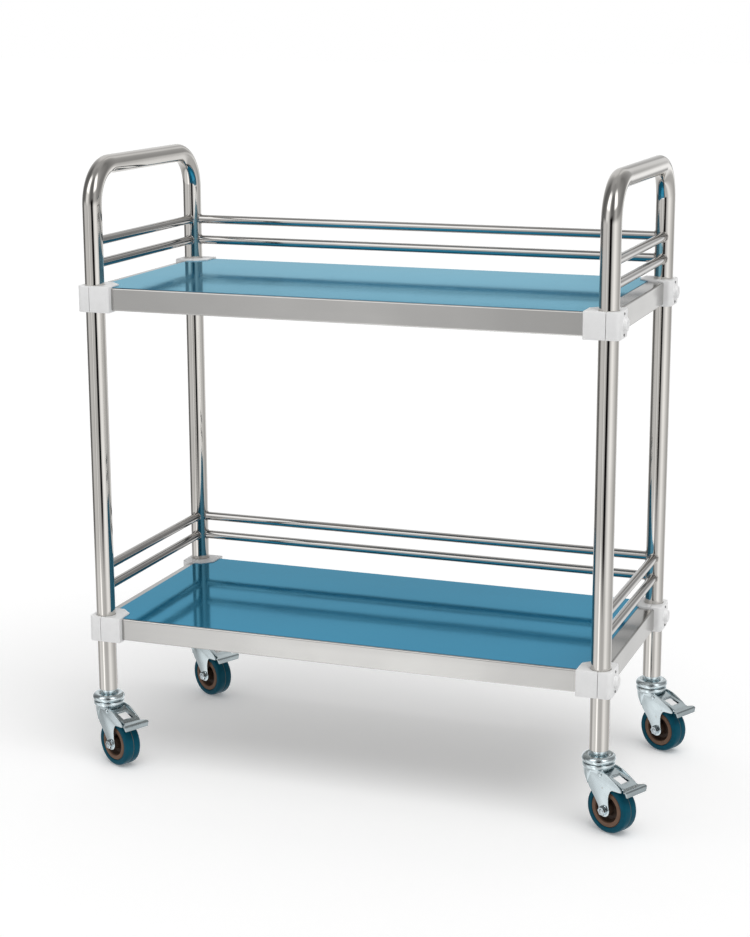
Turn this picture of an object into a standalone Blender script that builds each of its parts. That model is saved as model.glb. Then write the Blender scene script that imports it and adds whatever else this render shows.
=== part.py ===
"""Two-shelf instrument cart: bent-tube end frames, guard rails, pan shelves, corner clamps, braked casters.

Metres, +Z up. X runs along the shelves, Y from the open front to the rear, the floor is at Z = 0.
The origin is under the middle of the cart's box.
"""
import math

import bmesh
import bpy
import numpy as np
from mathutils import Matrix

# Fits
CLEARANCE = 0.0003
RUNNING_GAP = 0.0005

# End frames
POST_SPAN_X = 0.680
POST_SPAN_Y = 0.300
TUBE_RADIUS = 0.0125
TUBE_WALL = 0.0012
HANDLE_BEND_RADIUS = 0.050
HANDLE_RISE = 0.153
TUBE_SIDES = 16
BEND_STEPS = 5

# Guard rails, heights of their axes above the shelf
RAIL_RADIUS = 0.006
RAIL_WALL = 0.001
UPPER_RAIL_HEIGHTS = {"low": 0.028, "high": 0.057}
LOWER_RAIL_HEIGHTS = {"low": 0.038, "high": 0.066}
RAIL_SIDES = 12

# Shelves
LEG_LENGTH = 0.103
SHELF_SPACING = 0.444
SHELF_OVERHANG_X = 0.0065
SHELF_OVERHANG_Y = 0.0095
SHEET_THICKNESS = 0.0012
SKIRT_HEIGHT = 0.0295
SKIRT_EDGE_RADIUS = 0.0012
HEM_WIDTH = 0.008

# Protective film
FILM_THICKNESS = 0.0003
FILM_GAP = 0.0001
FILM_MARGIN_LEFT = 0.010
FILM_MARGIN_RIGHT = 0.022
FILM_MARGIN_Y = 0.003

# Corner clamps, measured from the post axis
CLAMP_OUTER_REACH = 0.017
CLAMP_INNER_REACH = 0.028
CLAMP_CORNER_CUT = 0.014
CLAMP_CORNER_RADIUS = 0.0065
CLAMP_CORNER_STEPS = 3
CLAMP_RISE = 0.002
CLAMP_DROP = 0.0025
CLAMP_EDGE_BEVEL = 0.0008
CAP_RADIUS = 0.0083
CAP_HEIGHT = 0.005
CAP_EDGE_BEVEL = 0.0012
CAP_OFFSET_Y = 0.0055
CAP_ROOT = 0.001
CAP_SIDES = 16

# Caster wheels
WHEEL_RADIUS = 0.0315
WHEEL_WIDTH = 0.024
TREAD_FLAT_WIDTH = 0.012
TREAD_SHOULDER = 0.0008
TYRE_SIDE_DROP = 0.0045
TYRE_EDGE_INSET = 0.002
TYRE_DEPTH = 0.008
TYRE_SIDES = 28
HUB_RIM_DEPTH = 0.006
HUB_RIM_INSET = 0.0008
HUB_WEB_THICKNESS = 0.006
HUB_BOSS_RADIUS = 0.008
HUB_SIDES = 16

# Caster forks
CASTER_AZIMUTH_DEG = -27.0
CASTER_TRAIL = 0.023
FORK_SHEET = 0.002
FORK_SIDE_GAP = 0.002
FORK_HEAD_ROOM = 0.017
FORK_BACK = 0.020
FORK_BACK_DROP = 0.010
FORK_EYE_RADIUS = 0.0085
FORK_EYE_START_DEG = 150.0
FORK_EYE_END_DEG = 390.0
THROAT_RISE = 0.0136
THROAT_REACH_LOW = 0.0063
THROAT_REACH = 0.009
WING_REACH = 0.050
WING_TIP_HEIGHT = 0.005
WING_DROP = 0.0145
RACE_RADIUS = 0.0205
RACE_HEIGHT = 0.004
ROUND_STEPS = 10
HOOD_STEPS = 8

# Caster stems
DOME_RADIUS = 0.0215
DOME_RIM_HEIGHT = 0.004
DOME_HEIGHT = 0.009
DOME_SHOULDER_DROP = 0.00125
COLLAR_RADIUS = 0.010
COLLAR_HEIGHT = 0.006
STEM_INSERT = 0.035
STEM_TIP_BEVEL = 0.002
KINGPIN_RADIUS = 0.005
KINGPIN_HEAD_RADIUS = 0.008
KINGPIN_HEAD_HEIGHT = 0.003
STEM_SIDES = 16

# Axle bolts
AXLE_RADIUS = 0.004
AXLE_HEAD_RADIUS = 0.0062
AXLE_HEAD_HEIGHT = 0.0035
AXLE_SIDES = 12

# Brake pedals, measured from their pivot
PIVOT_REACH = 0.016
PIVOT_DROP = 0.0042
BARREL_RADIUS = 0.003
TRUNNION_RADIUS = 0.002
TRUNNION_STUB = 0.0005
PEDAL_SHEET = 0.002
PEDAL_SLOPE_DEG = 18.4
PEDAL_LENGTH = 0.037
PEDAL_SIDE_GAP = 0.0006
LIP_SLOPE_DEG = 6.0
LIP_LENGTH = 0.009
LIP_START = 0.002
LIP_SINK = 0.0005
LIP_WIDTH = 0.040
LIP_FLANGE = 0.004
WINDOW_START = 0.0135
WINDOW_LENGTH = 0.0145
WINDOW_WIDTH = 0.016
SHOE_REACH = 0.029
SHOE_THICKNESS = 0.003
SHOE_WIDTH = 0.016
BRAKE_TRAVEL_DEG = 8.0
BRAKE_GAP = 0.0008

# Heights worked out from the sizes above
CROWN_Z = 2 * WHEEL_RADIUS + FORK_HEAD_ROOM
RACE_TOP_Z = CROWN_Z + FORK_SHEET + RACE_HEIGHT
DOME_BOTTOM_Z = RACE_TOP_Z + CLEARANCE
TUBE_BOTTOM_Z = DOME_BOTTOM_Z + DOME_HEIGHT + COLLAR_HEIGHT
LOWER_SHELF_Z = TUBE_BOTTOM_Z + LEG_LENGTH
UPPER_SHELF_Z = LOWER_SHELF_Z + SHELF_SPACING
HANDLE_AXIS_Z = UPPER_SHELF_Z + HANDLE_RISE

# Widths worked out from the sizes above
FORK_INNER_HALF = WHEEL_WIDTH / 2 + FORK_SIDE_GAP
FORK_OUTER_HALF = FORK_INNER_HALF + FORK_SHEET
PEDAL_HALF = FORK_INNER_HALF - PEDAL_SIDE_GAP

SHELF_LEVELS = {
    "upper": (UPPER_SHELF_Z, UPPER_RAIL_HEIGHTS),
    "lower": (LOWER_SHELF_Z, LOWER_RAIL_HEIGHTS),
}
CORNERS = {
    "front_left": (-1, -1),
    "front_right": (1, -1),
    "rear_left": (-1, 1),
    "rear_right": (1, 1),
}

# Base colour, roughness and metallic value of each finish
FINISHES = {
    "polished_steel": ((0.68, 0.67, 0.65), 0.15, 1.0),
    "satin_steel": ((0.62, 0.62, 0.61), 0.35, 1.0),
    "blue_film": ((0.10, 0.36, 0.52), 0.10, 0.3),
    "white_plastic": ((0.86, 0.86, 0.86), 0.40, 0.0),
    "zinc_plate": ((0.62, 0.65, 0.68), 0.30, 1.0),
    "blue_tyre": ((0.02, 0.16, 0.24), 0.45, 0.0),
    "brown_hub": ((0.28, 0.17, 0.10), 0.50, 0.0),
}
SHARP_ANGLE = math.radians(32)


def clear_scene():
    """Remove every object of the open scene."""
    for obj in list(bpy.data.objects):
        bpy.data.objects.remove(obj, do_unlink=True)


def make_material(name):
    """Return the Principled material of one finish."""
    color, roughness, metallic = FINISHES[name]
    material = bpy.data.materials.new(name)
    material.use_nodes = True
    shader = material.node_tree.nodes["Principled BSDF"]
    shader.inputs["Base Color"].default_value = (*color, 1.0)
    shader.inputs["Roughness"].default_value = roughness
    shader.inputs["Metallic"].default_value = metallic
    return material


def loft(name, rings, cyclic=False):
    """Join rings of equal length with faces; cap the ends, or join the last ring to the first."""
    mesh = bpy.data.meshes.new(name)
    shape = bmesh.new()
    loops = [[shape.verts.new(point) for point in ring] for ring in rings]
    pairs = list(zip(loops, loops[1:]))
    if cyclic:
        pairs.append((loops[-1], loops[0]))
    else:
        shape.faces.new(loops[0])
        shape.faces.new(loops[-1])
    for first, second in pairs:
        count = len(first)
        for i in range(count):
            j = (i + 1) % count
            shape.faces.new((first[i], first[j], second[j], second[i]))
    bmesh.ops.recalc_face_normals(shape, faces=shape.faces)
    shape.to_mesh(mesh)
    shape.free()
    return mesh


def circle(radius, sides, phase=0.0):
    """Return the points of a regular polygon in a plane."""
    angles = phase + 2 * math.pi * np.arange(sides) / sides
    return np.column_stack((radius * np.cos(angles), radius * np.sin(angles)))


def arc(center, radius, start, end, steps):
    """Return points on an arc between two angles, both ends included."""
    angles = np.linspace(start, end, steps + 1)
    return [(center[0] + radius * math.cos(a), center[1] + radius * math.sin(a)) for a in angles]


def turned(name, profile, sides, phase=0.0, cyclic=False):
    """Turn a profile of (radius, height) points about Z."""
    rings = []
    for radius, height in profile:
        flat = circle(radius, sides, phase)
        rings.append([(x, y, height) for x, y in flat])
    return loft(name, rings, cyclic)


def laid_on_y(mesh):
    """Turn a mesh made about Z so that its axis lies along Y."""
    mesh.transform(Matrix.Rotation(-math.pi / 2, 4, "X"))
    return mesh


def moved(mesh, x, y, z):
    """Shift a mesh's points."""
    mesh.transform(Matrix.Translation((x, y, z)))
    return mesh


def box(name, low, high):
    """Return a box between two corners."""
    corners = [(low[0], low[1]), (high[0], low[1]), (high[0], high[1]), (low[0], high[1])]
    return loft(name, [[(x, y, z) for x, y in corners] for z in (low[2], high[2])])


def extruded_on_y(name, outline, half_width):
    """Extrude an outline of (x, z) points across Y, to both sides of the middle."""
    return loft(name, [[(x, y, z) for x, z in outline] for y in (-half_width, half_width)])


def boolean(base, tool, operation):
    """Combine two closed meshes and return the result as a new mesh."""
    base_object = bpy.data.objects.new("base", base)
    tool_object = bpy.data.objects.new("tool", tool)
    for obj in (base_object, tool_object):
        bpy.context.scene.collection.objects.link(obj)
    modifier = base_object.modifiers.new("combine", "BOOLEAN")
    modifier.operation = operation
    modifier.solver = "EXACT"
    modifier.object = tool_object
    bpy.context.view_layer.update()
    graph = bpy.context.evaluated_depsgraph_get()
    result = bpy.data.meshes.new_from_object(base_object.evaluated_get(graph))
    result.name = base.name
    for obj in (base_object, tool_object):
        bpy.data.objects.remove(obj, do_unlink=True)
    return result


def place(name, mesh, material, parent, location=(0, 0, 0), turn=0.0):
    """Make the object of one sub-part."""
    if not mesh.materials:
        mesh.materials.append(material)
        mesh.shade_smooth()
        mesh.set_sharp_from_angle(angle=SHARP_ANGLE)
    obj = bpy.data.objects.new(name, mesh)
    obj.location = location
    obj.rotation_euler = (0, 0, turn)
    obj.parent = parent
    bpy.context.scene.collection.objects.link(obj)
    return obj


def make_empty(name, parent=None, location=(0, 0, 0), turn=0.0):
    """Make an empty that carries other objects."""
    empty = bpy.data.objects.new(name, None)
    empty.location = location
    empty.rotation_euler = (0, 0, turn)
    empty.parent = parent
    bpy.context.scene.collection.objects.link(empty)
    return empty


def inset_outline(outline, distance):
    """Move each edge of a counter-clockwise outline inwards and return the mitred corners."""
    points = np.array(outline)
    edges = np.roll(points, -1, axis=0) - points
    edges /= np.linalg.norm(edges, axis=1)[:, None]
    normals = np.column_stack((-edges[:, 1], edges[:, 0]))
    before = np.roll(normals, 1, axis=0)
    mitre = (before + normals) / (1 + np.sum(before * normals, axis=1))[:, None]
    return points + distance * mitre


def level_ring(outline, height):
    """Lift an outline of (x, y) points to one height."""
    return [(x, y, height) for x, y in outline]


def end_frame_mesh():
    """Inverted U of tube in the YZ plane: front post, handle and rear post, open at the bottom."""
    half = POST_SPAN_Y / 2
    bend_y = half - HANDLE_BEND_RADIUS
    bend_z = HANDLE_AXIS_Z - HANDLE_BEND_RADIUS
    front_bend = arc((-bend_y, bend_z), HANDLE_BEND_RADIUS, math.pi, math.pi / 2, BEND_STEPS)
    rear_bend = arc((bend_y, bend_z), HANDLE_BEND_RADIUS, math.pi / 2, 0, BEND_STEPS)
    path = [(-half, TUBE_BOTTOM_Z), *front_bend, *rear_bend, (half, TUBE_BOTTOM_Z)]
    front_angles = np.linspace(math.pi, math.pi / 2, BEND_STEPS + 1)
    rear_angles = np.linspace(math.pi / 2, 0, BEND_STEPS + 1)
    outward = [math.pi, *front_angles, *rear_angles, 0.0]

    def tube_rings(radius):
        rings = []
        for (y, z), angle in zip(path, outward):
            flat = circle(radius, TUBE_SIDES)
            rings.append([(a, y + b * math.cos(angle), z + b * math.sin(angle)) for a, b in flat])
        return rings

    outside = tube_rings(TUBE_RADIUS)
    inside = tube_rings(TUBE_RADIUS - TUBE_WALL)
    return loft("end_frame", outside + inside[::-1], cyclic=True)


def rail_mesh(name, span):
    """Rail along X between two posts, its ends coped to the round of the posts."""
    def coped_ring(radius, side):
        flat = circle(radius, RAIL_SIDES)
        reach = span / 2 - np.sqrt((TUBE_RADIUS + CLEARANCE) ** 2 - flat[:, 0] ** 2)
        return [(side * x, y, z) for x, (y, z) in zip(reach, flat)]

    inner_radius = RAIL_RADIUS - RAIL_WALL
    rings = [
        coped_ring(RAIL_RADIUS, -1),
        coped_ring(RAIL_RADIUS, 1),
        coped_ring(inner_radius, 1),
        coped_ring(inner_radius, -1),
    ]
    return loft(name, rings, cyclic=True)


def add_rails(level, shelf_z, heights, material, root):
    """Two rails at the left end, the right end and the rear of one shelf."""
    end_mesh = rail_mesh(f"{level}_end_rail", POST_SPAN_Y)
    rear_mesh = rail_mesh(f"{level}_rear_rail", POST_SPAN_X)
    for rank, height in heights.items():
        z = shelf_z + height
        for side, x in (("left", -POST_SPAN_X / 2), ("right", POST_SPAN_X / 2)):
            name = f"{level}_{side}_rail_{rank}"
            place(name, end_mesh, material, root, (x, 0, z), math.pi / 2)
        place(f"{level}_rear_rail_{rank}", rear_mesh, material, root, (0, POST_SPAN_Y / 2, z))


def shelf_outline(margins=(0, 0, 0, 0)):
    """Counter-clockwise rectangle with its corners cut round the clamps.

    The margins draw in the left, right, front and rear edges.
    """
    left, right, front, rear = margins
    post_x = POST_SPAN_X / 2
    post_y = POST_SPAN_Y / 2
    reach = CLAMP_INNER_REACH + CLEARANCE
    cut = CLAMP_CORNER_CUT + CLEARANCE * math.tan(math.pi / 8)
    edge_x = {-1: left - SHELF_OVERHANG_X, 1: right - SHELF_OVERHANG_X}
    edge_y = {-1: front - SHELF_OVERHANG_Y, 1: rear - SHELF_OVERHANG_Y}
    outline = []
    for sx, sy in ((-1, -1), (1, -1), (1, 1), (-1, 1)):
        from_side = [(edge_x[sx], reach), (cut, reach), (reach, cut), (reach, edge_y[sy])]
        corner = [(sx * (post_x - u), sy * (post_y - v)) for u, v in from_side]
        outline += corner if sx * sy > 0 else corner[::-1]
    return outline


def shelf_mesh(level, shelf_z):
    """Pan of sheet: flat top, rounded edge, turned-down skirt and a hem turned in at its bottom."""
    outline = shelf_outline()
    inner = inset_outline(outline, SHEET_THICKNESS)
    hem_edge = inset_outline(outline, HEM_WIDTH)
    bottom_z = shelf_z - SKIRT_HEIGHT
    rings = [
        level_ring(inset_outline(outline, SKIRT_EDGE_RADIUS), shelf_z),
        level_ring(outline, shelf_z - SKIRT_EDGE_RADIUS),
        level_ring(outline, bottom_z),
        level_ring(hem_edge, bottom_z),
        level_ring(hem_edge, bottom_z + SHEET_THICKNESS),
        level_ring(inner, bottom_z + SHEET_THICKNESS),
        level_ring(inner, shelf_z - SHEET_THICKNESS),
    ]
    return loft(f"{level}_shelf", rings)


def film_mesh(level, shelf_z):
    """Thin film on the shelf, drawn in from its edges."""
    outline = shelf_outline((FILM_MARGIN_LEFT, FILM_MARGIN_RIGHT, FILM_MARGIN_Y, FILM_MARGIN_Y))
    low = shelf_z + FILM_GAP
    return loft(f"{level}_film", [level_ring(outline, low), level_ring(outline, low + FILM_THICKNESS)])


def clamp_outline(half):
    """Counter-clockwise outline of one clamp half: u runs inwards along X, v inwards along Y."""
    face = CLEARANCE / 2
    outer = CLAMP_OUTER_REACH
    reach = CLAMP_INNER_REACH
    bore = TUBE_RADIUS + CLEARANCE
    mouth = math.sqrt(bore ** 2 - face ** 2)
    facet = 2 * math.pi / TUBE_SIDES
    inside_steps = TUBE_SIDES // 2 - 2
    if half == "outer":
        rounded = CLAMP_CORNER_RADIUS
        low_center = (rounded - outer, rounded - outer)
        high_center = (rounded - outer, reach - rounded)
        low_corner = arc(low_center, rounded, 1.5 * math.pi, math.pi, CLAMP_CORNER_STEPS)
        high_corner = arc(high_center, rounded, math.pi, math.pi / 2, CLAMP_CORNER_STEPS)
        bore_arc = arc((0, 0), bore, math.pi / 2 + facet, 1.5 * math.pi - facet, inside_steps)
        outline = [(-face, -outer), *low_corner, *high_corner, (-face, reach), (-face, mouth)]
        outline += [*bore_arc, (-face, -mouth)]
        return outline[::-1]
    bore_arc = arc((0, 0), bore, math.pi / 2 - facet, facet - math.pi / 2, inside_steps)
    cut = CLAMP_CORNER_CUT
    outside = [(face, -outer), (reach, -outer), (reach, cut), (cut, reach), (face, reach)]
    return [*outside, (face, mouth), *bore_arc, (face, -mouth)]


def clamp_mesh(half, mirrored):
    """One clamp half round a post, with bevelled rims; its top is at the shelf's height plus the rise."""
    outline = clamp_outline(half)
    if mirrored:
        outline = [(-u, v) for u, v in outline][::-1]
    small = inset_outline(outline, CLAMP_EDGE_BEVEL)
    low = -SKIRT_HEIGHT - CLAMP_DROP
    rings = [
        level_ring(small, low),
        level_ring(outline, low + CLAMP_EDGE_BEVEL),
        level_ring(outline, CLAMP_RISE - CLAMP_EDGE_BEVEL),
        level_ring(small, CLAMP_RISE),
    ]
    name = f"clamp_{half}"
    mesh = loft(name, rings)
    if half == "outer":
        side = 1 if mirrored else -1
        mesh = boolean(mesh, cap_mesh(side, (low + CLAMP_RISE) / 2), "UNION")
        mesh.name = name
    return mesh


def cap_mesh(side, middle_z):
    """Round bolt cap on the outer face of a clamp, along X to one side."""
    face = CLAMP_OUTER_REACH
    top = face + CAP_HEIGHT
    profile = [
        (CAP_RADIUS, face - CAP_ROOT),
        (CAP_RADIUS, top - CAP_EDGE_BEVEL),
        (CAP_RADIUS - CAP_EDGE_BEVEL, top),
    ]
    cap = turned("cap", profile, CAP_SIDES)
    cap.transform(Matrix.Rotation(side * math.pi / 2, 4, "Y"))
    return moved(cap, 0, CAP_OFFSET_Y, middle_z)


def add_clamps(level, shelf_z, material, root, meshes):
    """Both halves of the clamp at each corner of one shelf."""
    for corner, (sx, sy) in CORNERS.items():
        location = (sx * POST_SPAN_X / 2, sy * POST_SPAN_Y / 2, shelf_z)
        turn = 0.0 if sy < 0 else math.pi
        mirrored = sx * sy < 0
        for half in ("inner", "outer"):
            name = f"{level}_{corner}_clamp_{half}"
            place(name, meshes[half, mirrored], material, root, location, turn)


def stem_mesh():
    """Stem in the post, collar, domed race cover, kingpin and the pin's head, turned in one."""
    insert = TUBE_RADIUS - TUBE_WALL - CLEARANCE
    dome_top = DOME_BOTTOM_Z + DOME_HEIGHT
    rim_top = DOME_BOTTOM_Z + DOME_RIM_HEIGHT
    head_top = CROWN_Z - CLEARANCE
    tip = TUBE_BOTTOM_Z + STEM_INSERT
    shoulder = (DOME_RADIUS + COLLAR_RADIUS) / 2
    shoulder_z = dome_top - DOME_SHOULDER_DROP
    profile = [
        (insert - STEM_TIP_BEVEL, tip),
        (insert, tip - STEM_TIP_BEVEL),
        (insert, TUBE_BOTTOM_Z),
        (COLLAR_RADIUS, TUBE_BOTTOM_Z - CLEARANCE),
        (COLLAR_RADIUS, dome_top),
        (shoulder, shoulder_z),
        (DOME_RADIUS, rim_top),
        (DOME_RADIUS, DOME_BOTTOM_Z),
        (KINGPIN_RADIUS, DOME_BOTTOM_Z),
        (KINGPIN_RADIUS, head_top),
        (KINGPIN_HEAD_RADIUS, head_top),
        (KINGPIN_HEAD_RADIUS, head_top - KINGPIN_HEAD_HEIGHT),
    ]
    return turned("caster_stem", profile, STEM_SIDES)


def fork_outline():
    """Side of the fork: crown, raked back edge, eye round the axle, throat and the wing beside the pedal."""
    crown = CROWN_Z + FORK_SHEET
    axle = (CASTER_TRAIL, WHEEL_RADIUS)
    wing_low = CROWN_Z - WING_DROP - WING_TIP_HEIGHT
    eye_start = math.radians(FORK_EYE_START_DEG)
    eye_end = math.radians(FORK_EYE_END_DEG)
    eye = arc(axle, FORK_EYE_RADIUS, eye_start, eye_end, ROUND_STEPS)
    back = [
        (-FORK_BACK, crown),
        (-FORK_BACK + FORK_SHEET / 2, CROWN_Z - FORK_BACK_DROP),
        (-FORK_BACK / 2, CROWN_Z - FORK_HEAD_ROOM),
    ]
    throat = [
        (CASTER_TRAIL + THROAT_REACH_LOW, WHEEL_RADIUS + THROAT_RISE),
        (CASTER_TRAIL + THROAT_REACH, wing_low - FORK_SHEET),
        (CASTER_TRAIL + THROAT_REACH + 2 * FORK_SHEET, wing_low),
    ]
    wing = [
        (WING_REACH, wing_low),
        (WING_REACH, wing_low + FORK_SHEET),
        (WING_REACH - FORK_SHEET, CROWN_Z - WING_DROP),
        (FORK_BACK, crown),
    ]
    return [*back, *eye, *throat, *wing]


def fork_plan(half_width, back, low, high):
    """Upright prism over the fork's plan: a half-round back and straight sides that run on past the wing."""
    far = 2 * WING_REACH
    rounded = arc((half_width - back, 0), half_width, math.pi / 2, 1.5 * math.pi, HOOD_STEPS)
    outline = [(far, half_width), *rounded, (far, -half_width)]
    return loft("plan", [level_ring(outline, low), level_ring(outline, high)])


def fork_mesh():
    """Drawn fork with a round hood, the lower race on its crown and holes for kingpin, axle and pedal."""
    far = 2 * WING_REACH
    fork = extruded_on_y("caster_fork", fork_outline(), far)
    fork = boolean(fork, fork_plan(FORK_OUTER_HALF, FORK_BACK, -far, far), "INTERSECT")
    inside = fork_plan(FORK_INNER_HALF, FORK_BACK - FORK_SHEET, -far, CROWN_Z)
    fork = boolean(fork, inside, "DIFFERENCE")
    race = turned("race", [(RACE_RADIUS, CROWN_Z + FORK_SHEET / 2), (RACE_RADIUS, RACE_TOP_Z)], STEM_SIDES)
    fork = boolean(fork, race, "UNION")
    pin_hole = turned("pin_hole", [(KINGPIN_RADIUS + RUNNING_GAP, z) for z in (0, 2 * CROWN_Z)], STEM_SIDES)
    fork = boolean(fork, pin_hole, "DIFFERENCE")
    pivot_x, pivot_z = pedal_pivot()
    for radius, x, z in (
        (AXLE_RADIUS + CLEARANCE, CASTER_TRAIL, WHEEL_RADIUS),
        (TRUNNION_RADIUS + CLEARANCE, pivot_x, pivot_z),
    ):
        hole = turned("hole", [(radius, y) for y in (-far, far)], AXLE_SIDES)
        fork = boolean(fork, moved(laid_on_y(hole), x, 0, z), "DIFFERENCE")
    fork.name = "caster_fork"
    return fork


def axle_mesh():
    """Axle bolt along Y with a hexagon head and a hexagon nut outside the fork."""
    phase = 2 * math.pi * np.arange(AXLE_SIDES) / AXLE_SIDES
    corner = math.pi / 3
    hexagon = AXLE_HEAD_RADIUS * math.cos(corner / 2) / np.cos(phase % corner - corner / 2)
    shank = np.full(AXLE_SIDES, AXLE_RADIUS)
    inner = FORK_OUTER_HALF + CLEARANCE
    outer = inner + AXLE_HEAD_HEIGHT
    head = [(-outer, hexagon), (-inner, hexagon), (-inner, shank)]
    nut = [(inner, shank), (inner, hexagon), (outer, hexagon)]
    rings = []
    for y, radii in head + nut:
        rings.append([(r * math.cos(a), r * math.sin(a), y) for r, a in zip(radii, phase)])
    return laid_on_y(loft("caster_axle", rings))


def hub_mesh():
    """Wheel hub along Y: bored boss, thin web and the rim that the tyre sits on."""
    bore = AXLE_RADIUS + CLEARANCE
    boss = FORK_INNER_HALF - CLEARANCE
    rim = WHEEL_RADIUS - TYRE_DEPTH - CLEARANCE
    rim_inner = rim - HUB_RIM_DEPTH
    face = WHEEL_WIDTH / 2 - HUB_RIM_INSET
    web = HUB_WEB_THICKNESS / 2
    boss_half = [(bore, boss), (HUB_BOSS_RADIUS, boss), (HUB_BOSS_RADIUS, web)]
    half = boss_half + [(rim_inner, web), (rim_inner, face), (rim, face)]
    profile = half + [(r, -y) for r, y in half[::-1]]
    return laid_on_y(turned("caster_hub", profile, HUB_SIDES, cyclic=True))


def tyre_mesh():
    """Tyre along Y with a flat tread, rounded shoulders and a flat facet on the floor."""
    phase = math.pi / TYRE_SIDES
    grow = 1 / math.cos(phase)
    inner = WHEEL_RADIUS - TYRE_DEPTH
    half_width = WHEEL_WIDTH / 2
    half = [
        (inner, half_width - TYRE_EDGE_INSET / 2),
        (WHEEL_RADIUS - TYRE_SIDE_DROP, half_width),
        (WHEEL_RADIUS - TREAD_SHOULDER, half_width - TYRE_EDGE_INSET),
        (WHEEL_RADIUS, TREAD_FLAT_WIDTH / 2),
    ]
    profile = [(r * grow, y) for r, y in half] + [(r * grow, -y) for r, y in half[::-1]]
    return laid_on_y(turned("caster_tyre", profile, TYRE_SIDES, phase, cyclic=True))


def pedal_pivot():
    """Place of the brake pedal's hinge, out from the swivel axis and up from the floor."""
    return PIVOT_REACH, CROWN_Z - PIVOT_DROP


def pedal_top_line():
    """Return the ends of the pedal plate's upper face and the end of its lip, from the pivot."""
    slope = math.radians(PEDAL_SLOPE_DEG)
    lip_slope = math.radians(LIP_SLOPE_DEG)
    start = np.array((BARREL_RADIUS * math.sin(slope), BARREL_RADIUS * math.cos(slope)))
    knee = start + PEDAL_LENGTH * np.array((math.cos(slope), -math.sin(slope)))
    tip = knee + LIP_LENGTH * np.array((math.cos(lip_slope), -math.sin(lip_slope)))
    return start, knee, tip


def shoe_bottom():
    """Height of the brake shoe's foot from the pivot: it stops just off the tyre at full travel.

    In the pedal's own frame a press turns the axle about the pivot; the foot's near corner comes first.
    """
    pivot_x, pivot_z = pedal_pivot()
    travel = math.radians(BRAKE_TRAVEL_DEG)
    axle_x = CASTER_TRAIL - pivot_x
    axle_z = WHEEL_RADIUS - pivot_z
    turned_x = axle_x * math.cos(travel) - axle_z * math.sin(travel)
    turned_z = axle_x * math.sin(travel) + axle_z * math.cos(travel)
    reach = WHEEL_RADIUS / math.cos(math.pi / TYRE_SIDES) + BRAKE_GAP
    return turned_z + math.sqrt(reach ** 2 - (SHOE_REACH - turned_x) ** 2)


def pedal_mesh():
    """Brake pedal about its pivot: barrel with trunnions, windowed plate, flared lip and brake shoe."""
    slope = math.radians(PEDAL_SLOPE_DEG)
    start, knee, tip = pedal_top_line()
    thickness = np.array((math.sin(slope), math.cos(slope))) * PEDAL_SHEET
    barrel_end = 2 * math.pi - slope + math.asin((BARREL_RADIUS - PEDAL_SHEET) / BARREL_RADIUS)
    barrel = arc((0, 0), BARREL_RADIUS, math.pi / 2 - slope, barrel_end, ROUND_STEPS)
    plate = [*barrel, tuple(knee - thickness), tuple(knee)]
    pedal = extruded_on_y("brake_pedal", plate, PEDAL_HALF)
    window_low = (WINDOW_START, -WINDOW_WIDTH / 2, -PEDAL_LENGTH)
    window_high = (WINDOW_START + WINDOW_LENGTH, WINDOW_WIDTH / 2, PEDAL_LENGTH)
    pedal = boolean(pedal, box("window", window_low, window_high), "DIFFERENCE")
    pedal = boolean(pedal, lip_mesh(knee, tip), "UNION")
    shoe_top = start[1] - (SHOE_REACH + SHOE_THICKNESS) * math.tan(slope) - PEDAL_SHEET / 2
    shoe_low = (SHOE_REACH, -SHOE_WIDTH / 2, shoe_bottom())
    shoe_high = (SHOE_REACH + SHOE_THICKNESS, SHOE_WIDTH / 2, shoe_top)
    pedal = boolean(pedal, box("shoe", shoe_low, shoe_high), "UNION")
    stub = FORK_OUTER_HALF + TRUNNION_STUB
    trunnion = laid_on_y(turned("trunnion", [(TRUNNION_RADIUS, y) for y in (-stub, stub)], AXLE_SIDES))
    pedal = boolean(pedal, trunnion, "UNION")
    pedal.name = "brake_pedal"
    return pedal


def lip_mesh(knee, tip):
    """Foot lip of the pedal: a flared plate with a flange turned down at its end."""
    root = knee - np.array((PEDAL_SHEET, LIP_SINK))
    down = np.array((0, PEDAL_SHEET))
    flange = np.array((0, LIP_FLANGE))
    back = np.array((PEDAL_SHEET, 0))
    side = [root - down, tip - back - down, tip - back - flange, tip - flange, tip, root]
    narrow = PEDAL_HALF - PEDAL_SHEET
    wide = LIP_WIDTH / 2
    start_x = root[0] + PEDAL_SHEET + LIP_START
    plan = [(root[0], narrow), (start_x, narrow), (start_x + LIP_START, wide), (tip[0], wide)]
    far = PEDAL_LENGTH
    outline = [(x, -y) for x, y in plan] + plan[::-1]
    prism = loft("lip", [[(x, y, z) for x, y in outline] for z in (-far, far)])
    return boolean(extruded_on_y("lip", [tuple(p) for p in side], LIP_WIDTH), prism, "INTERSECT")


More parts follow.
